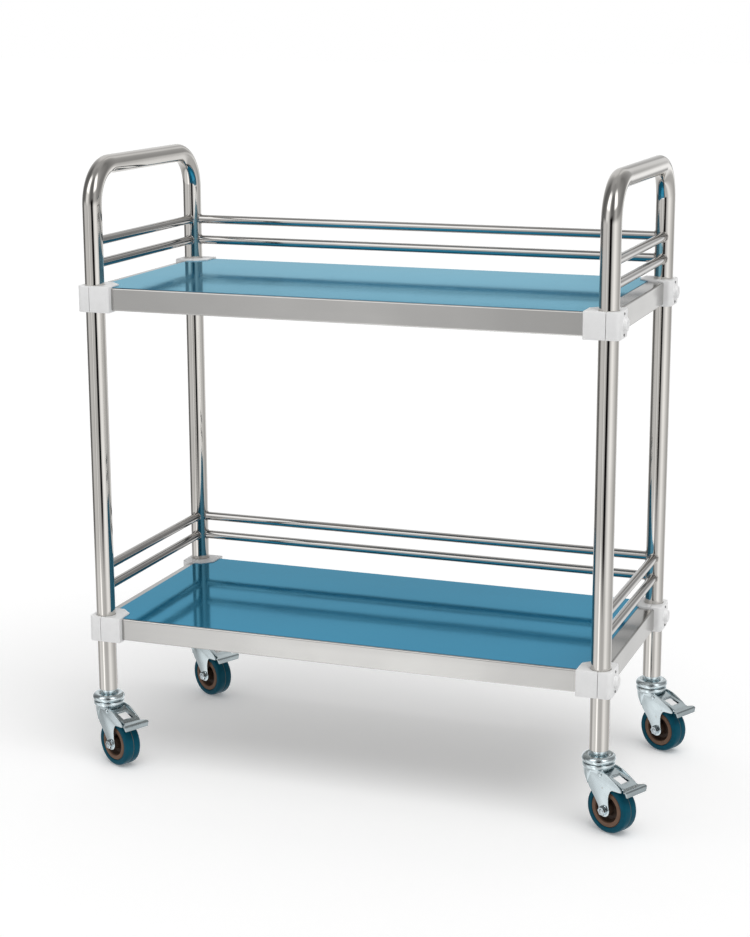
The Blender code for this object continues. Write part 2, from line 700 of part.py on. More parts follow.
def add_caster(corner, sx, sy, materials, meshes, root):
    """Stem in the post, and a swivelling fork that carries the wheel and the brake pedal."""
    location = (sx * POST_SPAN_X / 2, sy * POST_SPAN_Y / 2, 0)
    turn = math.radians(CASTER_AZIMUTH_DEG)
    swivel = make_empty(f"{corner}_swivel_axis", root, location, turn)
    axle_at = (CASTER_TRAIL, 0, WHEEL_RADIUS)
    pivot_x, pivot_z = pedal_pivot()
    place(f"{corner}_caster_stem", meshes["stem"], materials["zinc_plate"], root, location)
    place(f"{corner}_caster_fork", meshes["fork"], materials["zinc_plate"], swivel)
    place(f"{corner}_caster_axle", meshes["axle"], materials["zinc_plate"], swivel, axle_at)
    place(f"{corner}_caster_hub", meshes["hub"], materials["brown_hub"], swivel, axle_at)
    place(f"{corner}_caster_tyre", meshes["tyre"], materials["blue_tyre"], swivel, axle_at)
    place(f"{corner}_brake_pedal", meshes["pedal"], materials["zinc_plate"], swivel, (pivot_x, 0, pivot_z))


def center_on_floor(root):
    """Move the root so that the origin lies under the middle of the whole cart's box."""
    bpy.context.view_layer.update()
    corners = []
    for obj in bpy.data.objects:
        if obj.type == "MESH":
            corners += [obj.matrix_world @ vertex.co for vertex in obj.data.vertices]
    points = np.array(corners)
    low = points.min(axis=0)
    high = points.max(axis=0)
    middle = (low + high) / 2
    root.location = (-middle[0], -middle[1], -low[2])
    bpy.context.view_layer.update()


def main():
    """Build the cart."""
    clear_scene()
    materials = {name: make_material(name) for name in FINISHES}
    root = make_empty("cart")
    frame_mesh = end_frame_mesh()
    for side, x in (("left", -POST_SPAN_X / 2), ("right", POST_SPAN_X / 2)):
        place(f"{side}_end_frame", frame_mesh, materials["polished_steel"], root, (x, 0, 0))
    clamps = {}
    for half in ("inner", "outer"):
        for mirrored in (False, True):
            clamps[half, mirrored] = clamp_mesh(half, mirrored)
    for level, (shelf_z, heights) in SHELF_LEVELS.items():
        add_rails(level, shelf_z, heights, materials["polished_steel"], root)
        place(f"{level}_shelf", shelf_mesh(level, shelf_z), materials["satin_steel"], root)
        place(f"{level}_film", film_mesh(level, shelf_z), materials["blue_film"], root)
        add_clamps(level, shelf_z, materials["white_plastic"], root, clamps)
    caster_meshes = {
        "stem": stem_mesh(),
        "fork": fork_mesh(),
        "axle": axle_mesh(),
        "hub": hub_mesh(),
        "tyre": tyre_mesh(),
        "pedal": pedal_mesh(),
    }
    for corner, (sx, sy) in CORNERS.items():
        add_caster(corner, sx, sy, materials, caster_meshes, root)
    center_on_floor(root)


main()
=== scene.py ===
"""Looks of the two-shelf instrument cart: polished tubes, satin pans, blue film, clamps and casters."""
import logging
import math
from dataclasses import dataclass
from enum import Enum
from typing import Any, Mapping, Sequence

import bpy
import numpy as np
from mathutils import Euler, Matrix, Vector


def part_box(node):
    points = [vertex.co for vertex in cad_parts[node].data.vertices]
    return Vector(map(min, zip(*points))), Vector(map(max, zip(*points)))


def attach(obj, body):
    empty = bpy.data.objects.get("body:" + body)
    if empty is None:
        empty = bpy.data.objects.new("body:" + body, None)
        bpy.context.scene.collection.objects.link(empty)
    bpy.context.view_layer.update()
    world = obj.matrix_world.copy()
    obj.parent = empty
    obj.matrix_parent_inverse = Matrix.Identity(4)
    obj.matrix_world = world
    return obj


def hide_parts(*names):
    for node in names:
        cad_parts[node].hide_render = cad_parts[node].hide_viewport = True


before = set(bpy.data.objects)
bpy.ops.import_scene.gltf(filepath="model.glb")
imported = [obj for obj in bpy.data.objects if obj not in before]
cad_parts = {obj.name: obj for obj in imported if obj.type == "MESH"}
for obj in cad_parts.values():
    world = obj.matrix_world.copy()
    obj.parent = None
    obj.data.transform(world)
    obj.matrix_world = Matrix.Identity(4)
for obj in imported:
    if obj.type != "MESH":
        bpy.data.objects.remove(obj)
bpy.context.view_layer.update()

Array = np.ndarray
Pair = tuple[float, float]
Triple = tuple[float, float, float]
Outline = Sequence[Pair]
Face = tuple[int, ...]
Settings = Mapping[Any, Any]
LOG = logging.getLogger("cart")
IMAGE_HEIGHT = 937
FULL_TURN = 2 * math.pi
QUARTER_TURN = math.pi / 2
RIM_ANGLES = np.radians((0, 30, 60, 90))
SHARP_ANGLE = math.radians(35)
CORNER_CUT = 0.25
ALONG_Y = Matrix.Rotation(-QUARTER_TURN, 4, "X")
UPRIGHT = Matrix.Rotation(QUARTER_TURN, 4, "X")
COLOR_MIX = {"data_type": "RGBA"}
MIX_INPUTS = (0, 6, 7)
MIX_RESULT = 2
NOISE_MIDDLE = 0.5


class Corner(Enum):
    """Corners of the cart, each with the side it lies on along X and Y."""

    FRONT_LEFT = ("front_left", -1, -1)
    FRONT_RIGHT = ("front_right", 1, -1)
    REAR_LEFT = ("rear_left", -1, 1)
    REAR_RIGHT = ("rear_right", 1, 1)

    def __init__(self, label: str, side_x: int, side_y: int) -> None:
        """Keep the corner's name and sides.

        Args:
            label: Its name in the nodes' names.
            side_x: -1 for the left, 1 for the right.
            side_y: -1 for the front, 1 for the rear.
        """
        self.label = label
        self.side_x = side_x
        self.side_y = side_y


class Side(Enum):
    """Sides of the cart that have guard rails."""

    LEFT = "left"
    RIGHT = "right"
    REAR = "rear"


class Rank(Enum):
    """The two guard rails of a side."""

    LOW = "low"
    HIGH = "high"


class Level(Enum):
    """The two shelves."""

    UPPER = "upper"
    LOWER = "lower"


@dataclass
class Shell:
    """Points and faces of a surface, with a radius for each point of a turned one."""

    points: Array
    faces: list[Face]
    radius: Array

    def moved(self, matrix: Matrix) -> "Shell":
        """Return the shell carried by a matrix."""
        points = self.points @ np.array(matrix.to_3x3()).T + np.array(matrix.translation)
        return Shell(points, self.faces, self.radius)


def merged(*shells: Shell) -> Shell:
    """Put several shells into one.

    Args:
        shells: The shells to join.

    Returns:
        One shell with all their faces.
    """
    starts = np.cumsum([0] + [len(shell.points) for shell in shells]).tolist()
    faces = []
    for start, shell in zip(starts, shells):
        faces += [tuple(start + index for index in face) for face in shell.faces]
    points = np.concatenate([shell.points for shell in shells])
    return Shell(points, faces, np.concatenate([shell.radius for shell in shells]))


def outward(points: Array, faces: list[Face]) -> list[Face]:
    """Turn a closed surface's faces outwards by the sign of its volume.

    The volume goes with the sum, over fans of triangles, of a corner times the cross product of the others.

    Args:
        points: Corners of the surface.
        faces: Faces as corner numbers.

    Returns:
        The faces, reversed if they pointed inwards.
    """
    fans = [(face[0], face[i], face[i + 1]) for face in faces for i in range(1, len(face) - 1)]
    first, second, third = (points[np.array(column)] for column in zip(*fans))
    volume = np.sum(first * np.cross(second, third))
    return faces if volume > 0 else [face[::-1] for face in faces]


def grid_shell(grid: Array, ring_rows: bool = False, radius: Array | None = None) -> Shell:
    """Close a grid of rings into a shell.

    Each row is a closed ring. The rows run into a closed loop, or the first and last get flat caps.

    Args:
        grid: Points as rows, columns and coordinates.
        ring_rows: True if the last row joins the first.
        radius: A value for each row, kept on its points.

    Returns:
        The closed shell.
    """
    rows, columns, _ = grid.shape
    index = np.arange(rows * columns).reshape(rows, columns)
    beside = np.roll(index, -1, axis=1)
    corners = (index, beside, np.roll(beside, -1, axis=0), np.roll(index, -1, axis=0))
    strips = rows if ring_rows else rows - 1
    quads = np.stack([corner[:strips] for corner in corners], axis=-1).reshape(-1, len(corners))
    faces = [tuple(quad) for quad in quads.tolist()]
    if not ring_rows:
        faces += [tuple(index[0].tolist())[::-1], tuple(index[-1].tolist())]
    points = grid.reshape(-1, 3)
    values = np.zeros(rows) if radius is None else radius
    return Shell(points, outward(points, faces), np.repeat(values, columns))


def sheet_quads(rows: int, columns: int) -> Array:
    """Return the faces of an open grid as rows, columns and corner numbers."""
    index = np.arange(rows * columns).reshape(rows, columns)
    return np.stack((index[:-1, :-1], index[:-1, 1:], index[1:, 1:], index[1:, :-1]), axis=-1)


def turned(profile: Outline, sides: int, ring_rows: bool = False, corners: int = 0) -> Shell:
    """Turn a profile about Z: radius times cosine and sine of the angle, at the profile's height.

    With corners, the radius at an angle is that of a regular polygon of as many corners.

    Args:
        profile: Points of radius and height.
        sides: Steps round the axis.
        ring_rows: True for a profile that closes on itself.
        corners: Number of corners of the section, or 0 for a round one.

    Returns:
        The turned shell.
    """
    profile_points = np.array(profile)
    angle = FULL_TURN * np.arange(sides) / sides
    section = np.ones(sides)
    if corners:
        wedge = FULL_TURN / corners
        section = math.cos(wedge / 2) / np.cos(angle % wedge - wedge / 2)
    reach = profile_points[:, :1] * section
    height = np.broadcast_to(profile_points[:, 1:], reach.shape)
    grid = np.stack((reach * np.cos(angle), reach * np.sin(angle), height), axis=-1)
    return grid_shell(grid, ring_rows, profile_points[:, 0])


def arc(center: Pair, radius: float, start: float, end: float, steps: int) -> list[Pair]:
    """Return points on an arc from one angle to another in degrees, both ends included."""
    angle = np.radians(np.linspace(start, end, steps + 1))
    return list(zip(center[0] + radius * np.cos(angle), center[1] + radius * np.sin(angle)))


def shifted(outline: Outline, x: float, y: float) -> list[Pair]:
    """Return an outline moved by x and y."""
    return [(x + u, y + v) for u, v in outline]


def both_sides(profile: Outline) -> list[Pair]:
    """Return a profile followed by its mirror image at negative heights."""
    return [*profile, *((radius, -height) for radius, height in profile[::-1])]


def oblong(low: Pair, high: Pair) -> list[Pair]:
    """Return the corners of a rectangle, counter-clockwise."""
    return [low, (high[0], low[1]), high, (low[0], high[1])]


def softened(outline: Outline, rounds: int) -> Array:
    """Round a closed outline by cutting each corner at a quarter of its edges, several times.

    Args:
        outline: Corners of the outline.
        rounds: How often the corners are cut.

    Returns:
        The rounded outline.
    """
    points = np.array(outline)
    for _ in range(rounds):
        following = np.roll(points, -1, axis=0)
        near = (1 - CORNER_CUT) * points + CORNER_CUT * following
        far = CORNER_CUT * points + (1 - CORNER_CUT) * following
        points = np.stack((near, far), axis=1).reshape(-1, 2)
    return points


def stacked(outline: Outline, rows: Sequence[Pair]) -> Shell:
    """Stack insets of one outline at given heights and cap the first and the last.

    A corner moves in along its mitre, the sum of its edges' inward normals over one plus their product.

    Args:
        outline: Counter-clockwise outline.
        rows: Inset and height of each row.

    Returns:
        The closed shell.
    """
    points = np.array(outline)
    edge = np.roll(points, -1, axis=0) - points
    edge = edge / np.linalg.norm(edge, axis=1)[:, None]
    normal = np.column_stack((-edge[:, 1], edge[:, 0]))
    before = np.roll(normal, 1, axis=0)
    mitre = (before + normal) / (1 + np.sum(before * normal, axis=1))[:, None]
    table = np.array(rows)[:, :, None, None]
    flat = points + table[:, 0] * mitre
    height = np.broadcast_to(table[:, 1], (*flat.shape[:2], 1))
    return grid_shell(np.concatenate((flat, height), axis=-1))


def rounded_prism(outline: Outline, low: float, high: float, rim: float) -> Shell:
    """Extrude an outline in Z with quarter-round rims.

    Args:
        outline: Counter-clockwise outline.
        low: Height of the bottom.
        high: Height of the top.
        rim: Radius of both rims.

    Returns:
        The closed shell.
    """
    lower = [(rim * (1 - math.sin(a)), low + rim * (1 - math.cos(a))) for a in RIM_ANGLES]
    upper = [(distance, high + low - height) for distance, height in lower[::-1]]
    return stacked(outline, lower + upper)


class Value:
    """A shader socket that takes part in Python arithmetic."""

    def __init__(self, graph: "Graph", socket: bpy.types.NodeSocket) -> None:
        """Keep the graph and the socket."""
        self.graph = graph
        self.socket = socket

    def math(self, operation: str, other: "Value | float", swapped: bool = False) -> "Value":
        """Return the result of a Math node, with the other number first if swapped."""
        pair = (other, self) if swapped else (self, other)
        return self.graph.node("ShaderNodeMath", {"operation": operation}, {0: pair[0], 1: pair[1]})

    def __add__(self, other: "Value | float") -> "Value":
        """Return the sum."""
        return self.math("ADD", other)

    __radd__ = __add__

    def __sub__(self, other: "Value | float") -> "Value":
        """Return the difference."""
        return self.math("SUBTRACT", other)

    def __rsub__(self, other: "Value | float") -> "Value":
        """Return the reversed difference."""
        return self.math("SUBTRACT", other, swapped=True)

    def __mul__(self, other: "Value | float") -> "Value":
        """Return the product."""
        return self.math("MULTIPLY", other)

    __rmul__ = __mul__

    def blend(self, other: "Value", share: float) -> "Value":
        """Return this value with a share of another one."""
        return self * (1 - share) + other * share

    def step(self, low: float, high: float) -> "Value":
        """Return 0 below low, 1 above high and a smooth rise between."""
        inputs = {"Value": self, "From Min": low, "From Max": high}
        return self.graph.node("ShaderNodeMapRange", {"interpolation_type": "SMOOTHSTEP"}, inputs)


class Graph:
    """Node tree of one material or of the world."""

    def __init__(self, owner: bpy.types.ID, output: str = "ShaderNodeOutputMaterial") -> None:
        """Empty the owner's node tree and keep it.

        Args:
            owner: A material or a world.
            output: Type name of its output node.
        """
        owner.use_nodes = True
        self.tree = owner.node_tree
        self.output = output
        self.tree.nodes.clear()

    def node(self, kind: str, settings: Settings, inputs: Settings, output: Any = 0) -> Value:
        """Add a node, set it up and link its sockets.

        Args:
            kind: Type name of the node.
            settings: Properties that are set first.
            inputs: Values or links by socket name or number.
            output: Name or number of the socket that is returned.

        Returns:
            The chosen output.
        """
        node = self.tree.nodes.new(kind)
        for name, value in settings.items():
            if name == "stops":
                self._fill_ramp(node.color_ramp, value)
            else:
                setattr(node, name, value)
        for key, value in inputs.items():
            if isinstance(value, Value):
                self.tree.links.new(value.socket, node.inputs[key])
            else:
                node.inputs[key].default_value = value
        return Value(self, node.outputs[output])

    @staticmethod
    def _fill_ramp(ramp: bpy.types.ColorRamp, stops: Outline) -> None:
        """Set a ramp's stops.

        Args:
            ramp: The new ramp.
            stops: Position and grey level of each stop.
        """
        ramp.elements.remove(ramp.elements[1])
        ramp.elements[0].position = stops[0][0]
        for position, _ in stops[1:]:
            ramp.elements.new(position)
        for element, (_, level) in zip(ramp.elements, stops):
            element.color = (level, level, level, 1.0)

    def coordinates(self, stretch: Triple) -> Value:
        """Return Object coordinates stretched along the axes."""
        place = self.node("ShaderNodeTexCoord", {}, {}, "Object")
        return self.node("ShaderNodeMapping", {}, {"Vector": place, "Scale": stretch})

    def noise(self, scale: float, detail: float, stretch: Triple = (1, 1, 1)) -> Value:
        """Return noise from 0 to 1 by features per metre, octaves of detail and stretch."""
        inputs = {"Vector": self.coordinates(stretch), "Scale": scale, "Detail": detail}
        return self.node("ShaderNodeTexNoise", {}, inputs)

    def attribute(self, name: str) -> Value:
        """Return a number kept on the mesh's points."""
        return self.node("ShaderNodeAttribute", {"attribute_name": name}, {}, "Fac")

    def mixed(self, factor: Value, first: Triple | Value, second: Triple | Value) -> Value:
        """Return two colours mixed, the factor being the second one's share."""
        ends = (color if isinstance(color, Value) else (*color, 1.0) for color in (first, second))
        return self.node("ShaderNodeMix", COLOR_MIX, dict(zip(MIX_INPUTS, (factor, *ends))), MIX_RESULT)

    def bump(self, height: Value, strength: float, distance: float) -> Value:
        """Return a normal tilted by a height that rises a distance in metres from 0 to 1."""
        return self.node("ShaderNodeBump", {}, {"Height": height, "Strength": strength, "Distance": distance})

    def surface(self, shader: Value) -> None:
        """Send a shader to a new output node."""
        node = self.tree.nodes.new(self.output)
        self.tree.links.new(shader.socket, node.inputs["Surface"])


@dataclass(frozen=True)
class Finish:
    """A finish: its name, its slot in the record and how its shader is filled in."""

    name: str
    slot: str

    def inputs(self, graph: Graph) -> dict[str, Any]:
        """Return the values and links of the Principled shader."""
        raise NotImplementedError

    def material(self) -> bpy.types.Material:
        """Make the finish's material, or find it if it was made before.

        Returns:
            The material.
        """
        known = bpy.data.materials.get(self.name)
        if known:
            return known
        material = bpy.data.materials.new(self.name)
        graph = Graph(material)
        graph.surface(graph.node("ShaderNodeBsdfPrincipled", {}, self.inputs(graph)))
        return material


@dataclass(frozen=True)
class Steel(Finish):
    """Stainless steel with drawn lines along one axis and a cloudy polish."""

    tint: Triple
    shade: Triple
    roughness: float
    spread: float
    lines: Triple
    relief: float

    def inputs(self, graph: Graph) -> dict[str, Any]:
        """Vary colour, roughness and relief by clouds and by streaks of noise along the drawn lines.

        Args:
            graph: The material's graph.

        Returns:
            The shader's inputs.
        """
        streaks = graph.noise(scale=60.0, detail=6.0, stretch=self.lines)
        clouds = graph.noise(scale=9.0, detail=4.0)
        grime = clouds.step(low=0.35, high=0.75).blend(streaks, share=0.4)
        return {
            "Base Color": graph.mixed(grime, self.tint, self.shade),
            "Metallic": 1.0,
            "Roughness": self.roughness + self.spread * streaks.blend(clouds, share=0.3),
            "Normal": graph.bump(streaks, strength=0.25, distance=self.relief),
        }


@dataclass(frozen=True)
class Film(Finish):
    """Blue film laid on bright steel: half a tinted mirror, half a blue skin, slightly waved and scuffed."""

    tint: Triple
    deep: Triple
    edge: Triple
    mirror: float
    roughness: float = 0.06
    drift_haze: float = 0.05
    scuff_haze: float = 0.08

    def inputs(self, graph: Graph) -> dict[str, Any]:
        """Vary the colour by a slow drift, the normal by a shallow wave and the gloss by sparse scuffs.

        Args:
            graph: The material's graph.

        Returns:
            The shader's inputs.
        """
        drift = graph.noise(scale=3.0, detail=2.0)
        wave = graph.noise(scale=7.0, detail=1.0, stretch=(1, 2, 1))
        scuffs = graph.noise(scale=45.0, detail=5.0, stretch=(1, 6, 1)).step(low=0.60, high=0.75)
        return {
            "Base Color": graph.mixed(drift.step(low=0.3, high=0.7), self.tint, self.deep),
            "Metallic": self.mirror,
            "Specular Tint": (*self.edge, 1.0),
            "Roughness": self.roughness + self.drift_haze * drift + self.scuff_haze * scuffs,
            "Normal": graph.bump(wave, strength=0.12, distance=0.0015),
        }


@dataclass(frozen=True)
class Moulding(Finish):
    """Moulded plastic or rubber: a fine skin, soft mottling and a second tone within a radius, used on the
    hub as painted shade in the recessed web.
    """

    tint: Triple
    shade: Triple
    roughness: float
    grain: float
    inner: Triple | None = None
    inner_radius: float = 0.0
    gloss: float = 0.5
    unevenness: float = 0.12
    blur: float = 0.0008

    def inputs(self, graph: Graph) -> dict[str, Any]:
        """Mottle the colour and the gloss, put grain in the bump and set the inner tone by the radius.

        Args:
            graph: The material's graph.

        Returns:
            The shader's inputs.
        """
        mottle = graph.noise(scale=120.0, detail=4.0)
        skin = graph.noise(scale=900.0, detail=2.0)
        color = graph.mixed(mottle.step(low=0.35, high=0.7), self.tint, self.shade)
        # On the hub this inner tone is painted shade over the recessed boss and web.
        if self.inner:
            beyond = graph.attribute("radius").step(self.inner_radius - self.blur, self.inner_radius)
            color = graph.mixed(beyond, self.inner, color)
        return {
            "Base Color": color,
            "Roughness": self.roughness + self.unevenness * (mottle - NOISE_MIDDLE),
            "Specular IOR Level": self.gloss,
            "Normal": graph.bump(skin, strength=self.grain, distance=0.0002),
        }


@dataclass(frozen=True)
class Zinc(Finish):
    """Bright zinc plate: bluish clouds, a flow in the gloss and a few rust specks."""

    tint: Triple
    cloud: Triple
    rust: Triple
    roughness: float = 0.12
    flow_haze: float = 0.16
    rust_haze: float = 0.2
    rust_cover: float = 0.45
    rust_dulling: float = 0.5

    def inputs(self, graph: Graph) -> dict[str, Any]:
        """Set two tones by cloudy noise, and specks where fine noise peaks.

        Args:
            graph: The material's graph.

        Returns:
            The shader's inputs.
        """
        clouds = graph.noise(scale=55.0, detail=5.0)
        flow = graph.noise(scale=130.0, detail=4.0, stretch=(1, 1, 0.3))
        specks = graph.noise(scale=170.0, detail=2.0).step(low=0.70, high=0.76)
        plate = graph.mixed(clouds.step(low=0.3, high=0.7), self.tint, self.cloud)
        return {
            "Base Color": graph.mixed(specks * self.rust_cover, plate, self.rust),
            "Metallic": 1.0 - specks * self.rust_dulling,
            "Roughness": self.roughness + self.flow_haze * flow + self.rust_haze * specks,
            "Normal": graph.bump(flow, strength=0.08, distance=0.0003),
        }


POLISHED = Steel(
    "polished_tube", "polished_steel", (0.66, 0.64, 0.61), (0.58, 0.56, 0.53),
    roughness=0.035, spread=0.06, lines=(1, 1, 0.03), relief=4e-5)
# The rails get a darker copy of the polished steel: painted shade that stands in for the darker reflections
# along them.
SHADED_RAIL_STEEL = Steel(
    "polished_rail_darkened", "polished_steel", (0.47, 0.46, 0.445), (0.38, 0.37, 0.36),
    roughness=0.045, spread=0.05, lines=(1, 1, 1), relief=3e-5)
SATIN = Steel(
    "satin_pan", "satin_steel", (0.47, 0.465, 0.452), (0.415, 0.41, 0.40),
    roughness=0.13, spread=0.10, lines=(0.02, 0.02, 1), relief=4e-5)
WELD = Steel(
    "weld_bead", "polished_steel", (0.60, 0.58, 0.56), (0.42, 0.40, 0.38),
    roughness=0.16, spread=0.2, lines=(1, 1, 1), relief=2e-4)
FILM = Film(
    "shelf_film", "blue_film", (0.021, 0.235, 0.41), (0.017, 0.21, 0.38),
    edge=(0.16, 0.83, 1.0), mirror=0.53)
WHITE = Moulding(
    "clamp_white", "white_plastic", (0.95, 0.95, 0.95), (0.925, 0.925, 0.925), roughness=0.34, grain=0.05)
SCREW = Moulding(
    "screw_grey", "zinc_plate", (0.28, 0.28, 0.28), (0.20, 0.20, 0.20), roughness=0.4, grain=0.05)
TYRE = Moulding(
    "tyre_blue", "blue_tyre", (0.001, 0.076, 0.120), (0.001, 0.089, 0.138), roughness=0.42, grain=0.08,
    inner=(0.16, 0.17, 0.16), inner_radius=0.01, gloss=0.12)
# The hub's inner tone is painted shade: it darkens the recessed boss and web inside the rim.
HUB = Moulding(
    "hub_brown", "brown_hub", (0.20, 0.115, 0.073), (0.17, 0.095, 0.06), roughness=0.5, grain=0.08,
    inner=(0.05, 0.03, 0.02), inner_radius=0.0174, gloss=0.3)
ZINC = Zinc("caster_zinc", "zinc_plate", (0.73, 0.82, 0.85), (0.65, 0.735, 0.765), (0.42, 0.29, 0.15))
BOLT = Zinc("bolt_zinc", "zinc_plate", (0.62, 0.69, 0.72), (0.50, 0.56, 0.59), (0.30, 0.22, 0.13))
# The pedal gets a darker copy of the caster zinc: painted shade that stands in for the darker surroundings it
# reflects.
SHADED_PEDAL_ZINC = Zinc("pedal_zinc", "zinc_plate", (0.52, 0.59, 0.61), (0.46, 0.525, 0.545), (0.36, 0.25, 0.14))


@dataclass
class Dressing:
    """How one piece is named, finished and carried, and the nodes it stands for."""

    name: str
    finish: Finish
    body: str
    nodes: tuple[str, ...] = ()


def make_piece(shell: Shell, dressing: Dressing) -> bpy.types.Object:
    """Make the object of a shell, finish it and let it ride on its body.

    Args:
        shell: The surface.
        dressing: Its name, finish, body and the nodes that it stands for.

    Returns:
        The finished object.
    """
    mesh = bpy.data.meshes.new(dressing.name)
    mesh.from_pydata(shell.points.tolist(), [], shell.faces)
    radius = mesh.attributes.new("radius", "FLOAT", "POINT")
    radius.data.foreach_set("value", shell.radius.astype(np.float32))
    mesh.shade_smooth()
    mesh.set_sharp_from_angle(angle=SHARP_ANGLE)
    mesh.materials.append(dressing.finish.material())
    piece = bpy.data.objects.new(dressing.name, mesh)
    bpy.context.scene.collection.objects.link(piece)
    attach(piece, dressing.body)
    if dressing.nodes:
        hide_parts(*dressing.nodes)
    LOG.info("%s: %d points on %s", dressing.name, len(shell.points), dressing.body)
    return piece


@dataclass
class Layout:
    """Main places of the cart, read from the frame."""

    left_x: float
    right_x: float
    front_y: float
    rear_y: float
    tube_radius: float
    tube_bottom: float
    handle_z: float

    @classmethod
    def read(cls) -> "Layout":
        """Work the places out from the end frames' boxes.

        Returns:
            The layout.
        """
        low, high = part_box("left_end_frame")
        right_low, right_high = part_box("right_end_frame")
        radius = (high[0] - low[0]) / 2
        return cls(
            left_x=(low[0] + high[0]) / 2,
            right_x=(right_low[0] + right_high[0]) / 2,
            front_y=low[1] + radius,
            rear_y=high[1] - radius,
            tube_radius=radius,
            tube_bottom=low[2],
            handle_z=high[2] - radius,
        )

    @property
    def middle(self) -> Pair:
        """Point between the posts."""
        return (self.left_x + self.right_x) / 2, (self.front_y + self.rear_y) / 2

    @property
    def half_span(self) -> Pair:
        """Half the distances between the posts along X and Y."""
        return (self.right_x - self.left_x) / 2, (self.rear_y - self.front_y) / 2

    def post(self, corner: Corner) -> Pair:
        """Return the post's place at a corner."""
        x = self.left_x if corner.side_x < 0 else self.right_x
        return x, self.front_y if corner.side_y < 0 else self.rear_y


@dataclass
class EndFrame:
    """One bent tube: front post, push handle and rear post."""

    layout: Layout
    side: Side
    bend_radius: float = 0.050
    wall: float = 0.0012
    rim: float = 0.0003
    bore_depth: float = 0.030
    bend_steps: int = 20
    sides: int = 64

    def build(self) -> None:
        """Sweep the tube along the inverted U.

        A ring at each station lies in the plane of X and the path's outward normal: centre plus the radius
        times the cosine along X and the sine along the normal. The ends turn in round the rim to the bore.
        """
        place = self.layout
        x = place.left_x if self.side is Side.LEFT else place.right_x
        reach = place.half_span[1]
        radius = place.tube_radius
        bore = radius - self.wall
        bottom = place.tube_bottom
        heights = (bottom + self.bore_depth, bottom + self.rim, bottom, bottom, bottom + self.rim)
        radii = (bore, bore, bore + self.rim, radius - self.rim, radius)
        front = [(-reach, height, math.pi, size) for height, size in zip(heights, radii)]
        turn_center = (self.bend_radius - reach, place.handle_z - self.bend_radius)
        bend = arc(turn_center, self.bend_radius, 180, 90, self.bend_steps)
        bend_angle = np.linspace(math.pi, QUARTER_TURN, self.bend_steps + 1)
        front += [(y, z, angle, radius) for (y, z), angle in zip(bend, bend_angle)]
        rear = [(-y, z, math.pi - angle, size) for y, z, angle, size in front[::-1]]
        along, height, lean, size = np.array(front + rear).T[:, :, None]
        around = FULL_TURN * np.arange(self.sides) / self.sides
        out = size * np.sin(around)
        across = x + size * np.cos(around)
        grid = (across, place.middle[1] + along + out * np.cos(lean), height + out * np.sin(lean))
        name = f"{self.side.value}_end_frame"
        make_piece(grid_shell(np.stack(grid, axis=-1)), Dressing(f"{name}_tube", POLISHED, "frame", (name,)))


@dataclass
class GuardRail:
    """A thin tube between two posts with a weld bead at each end."""

    layout: Layout
    node: str
    sides: int = 40
    stations: int = 9
    bead: float = 0.0013
    bead_steps: int = 10
    ripple: float = 0.12
    ripples: int = 9

    def build(self) -> None:
        """Make the rail and its beads.

        The rail's ring is a circle, and each end is drawn back by the post's round: half the span less the
        root of the post's radius squared less the sideways offset squared.
        """
        low, high = (np.array(corner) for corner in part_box(self.node))
        size = high - low
        along = int(np.argmax(size))
        radius = size[2] / 2
        turn = FULL_TURN * np.arange(self.sides) / self.sides
        sideways = radius * np.cos(turn)
        end = self.layout.half_span[along] - np.sqrt(self.layout.tube_radius ** 2 - sideways ** 2)
        reach = np.linspace(-1, 1, self.stations)[:, None] * end
        rest = (np.broadcast_to(part, reach.shape) for part in (sideways, radius * np.sin(turn)))
        middle = (low + high) / 2
        middle[along] = self.layout.middle[along]
        place = Matrix.Translation(middle.tolist())
        if along == 1:
            place = place @ Matrix.Rotation(QUARTER_TURN, 4, "Z")
        rail = grid_shell(np.stack((reach, *rest), axis=-1)).moved(place)
        make_piece(rail, Dressing(f"{self.node}_tube", SHADED_RAIL_STEEL, "frame", (self.node,)))
        beads = merged(*(self._bead(side, end, turn, radius).moved(place) for side in (-1, 1)))
        make_piece(beads, Dressing(f"{self.node}_welds", WELD, "frame"))

    def _bead(self, side: int, end: Array, turn: Array, radius: float) -> Shell:
        """Sweep a small circle along the coped edge at one end, its size rippling as it goes.

        Args:
            side: -1 or 1, the end.
            end: Reach of the coped edge at each angle.
            turn: Angles round the rail.
            radius: The rail's radius.

        Returns:
            The closed ring.
        """
        around = FULL_TURN * np.arange(self.bead_steps) / self.bead_steps
        swell = self.bead * (1 + self.ripple * np.sin(self.ripples * turn))
        out = radius + swell * np.cos(around)[:, None]
        x = side * (end + swell * np.sin(around)[:, None])
        return grid_shell(np.stack((x, out * np.cos(turn), out * np.sin(turn)), axis=-1), ring_rows=True)


@dataclass
class ClampSizes:
    """Sizes of the corner clamps, from the post axis. Tables hold shares of a radius and heights."""

    outer: float = 0.017
    inner: float = 0.028
    cut: float = 0.014
    round_outer: float = 0.0065
    round_inner: float = 0.0012
    gap: float = 0.0003
    seam: float = 0.0008
    rim: float = 0.0009
    cap_radius: float = 0.0083
    cap_height: float = 0.005
    cap_offset: float = 0.0055
    cap_edge: float = 0.0016
    cap_angles: Pair = (15, 90)
    cap_root: float = 0.001
    cap_dish: Outline = ((0.62, 0.0), (0.55, -0.0004))
    screw_radius: float = 0.0018
    screw_offset: float = 0.0128
    screw_head: Outline = ((1.0, -0.001), (1.0, 0.0004), (0.8, 0.0009), (0.45, 0.0011), (0.4, 0.0006))


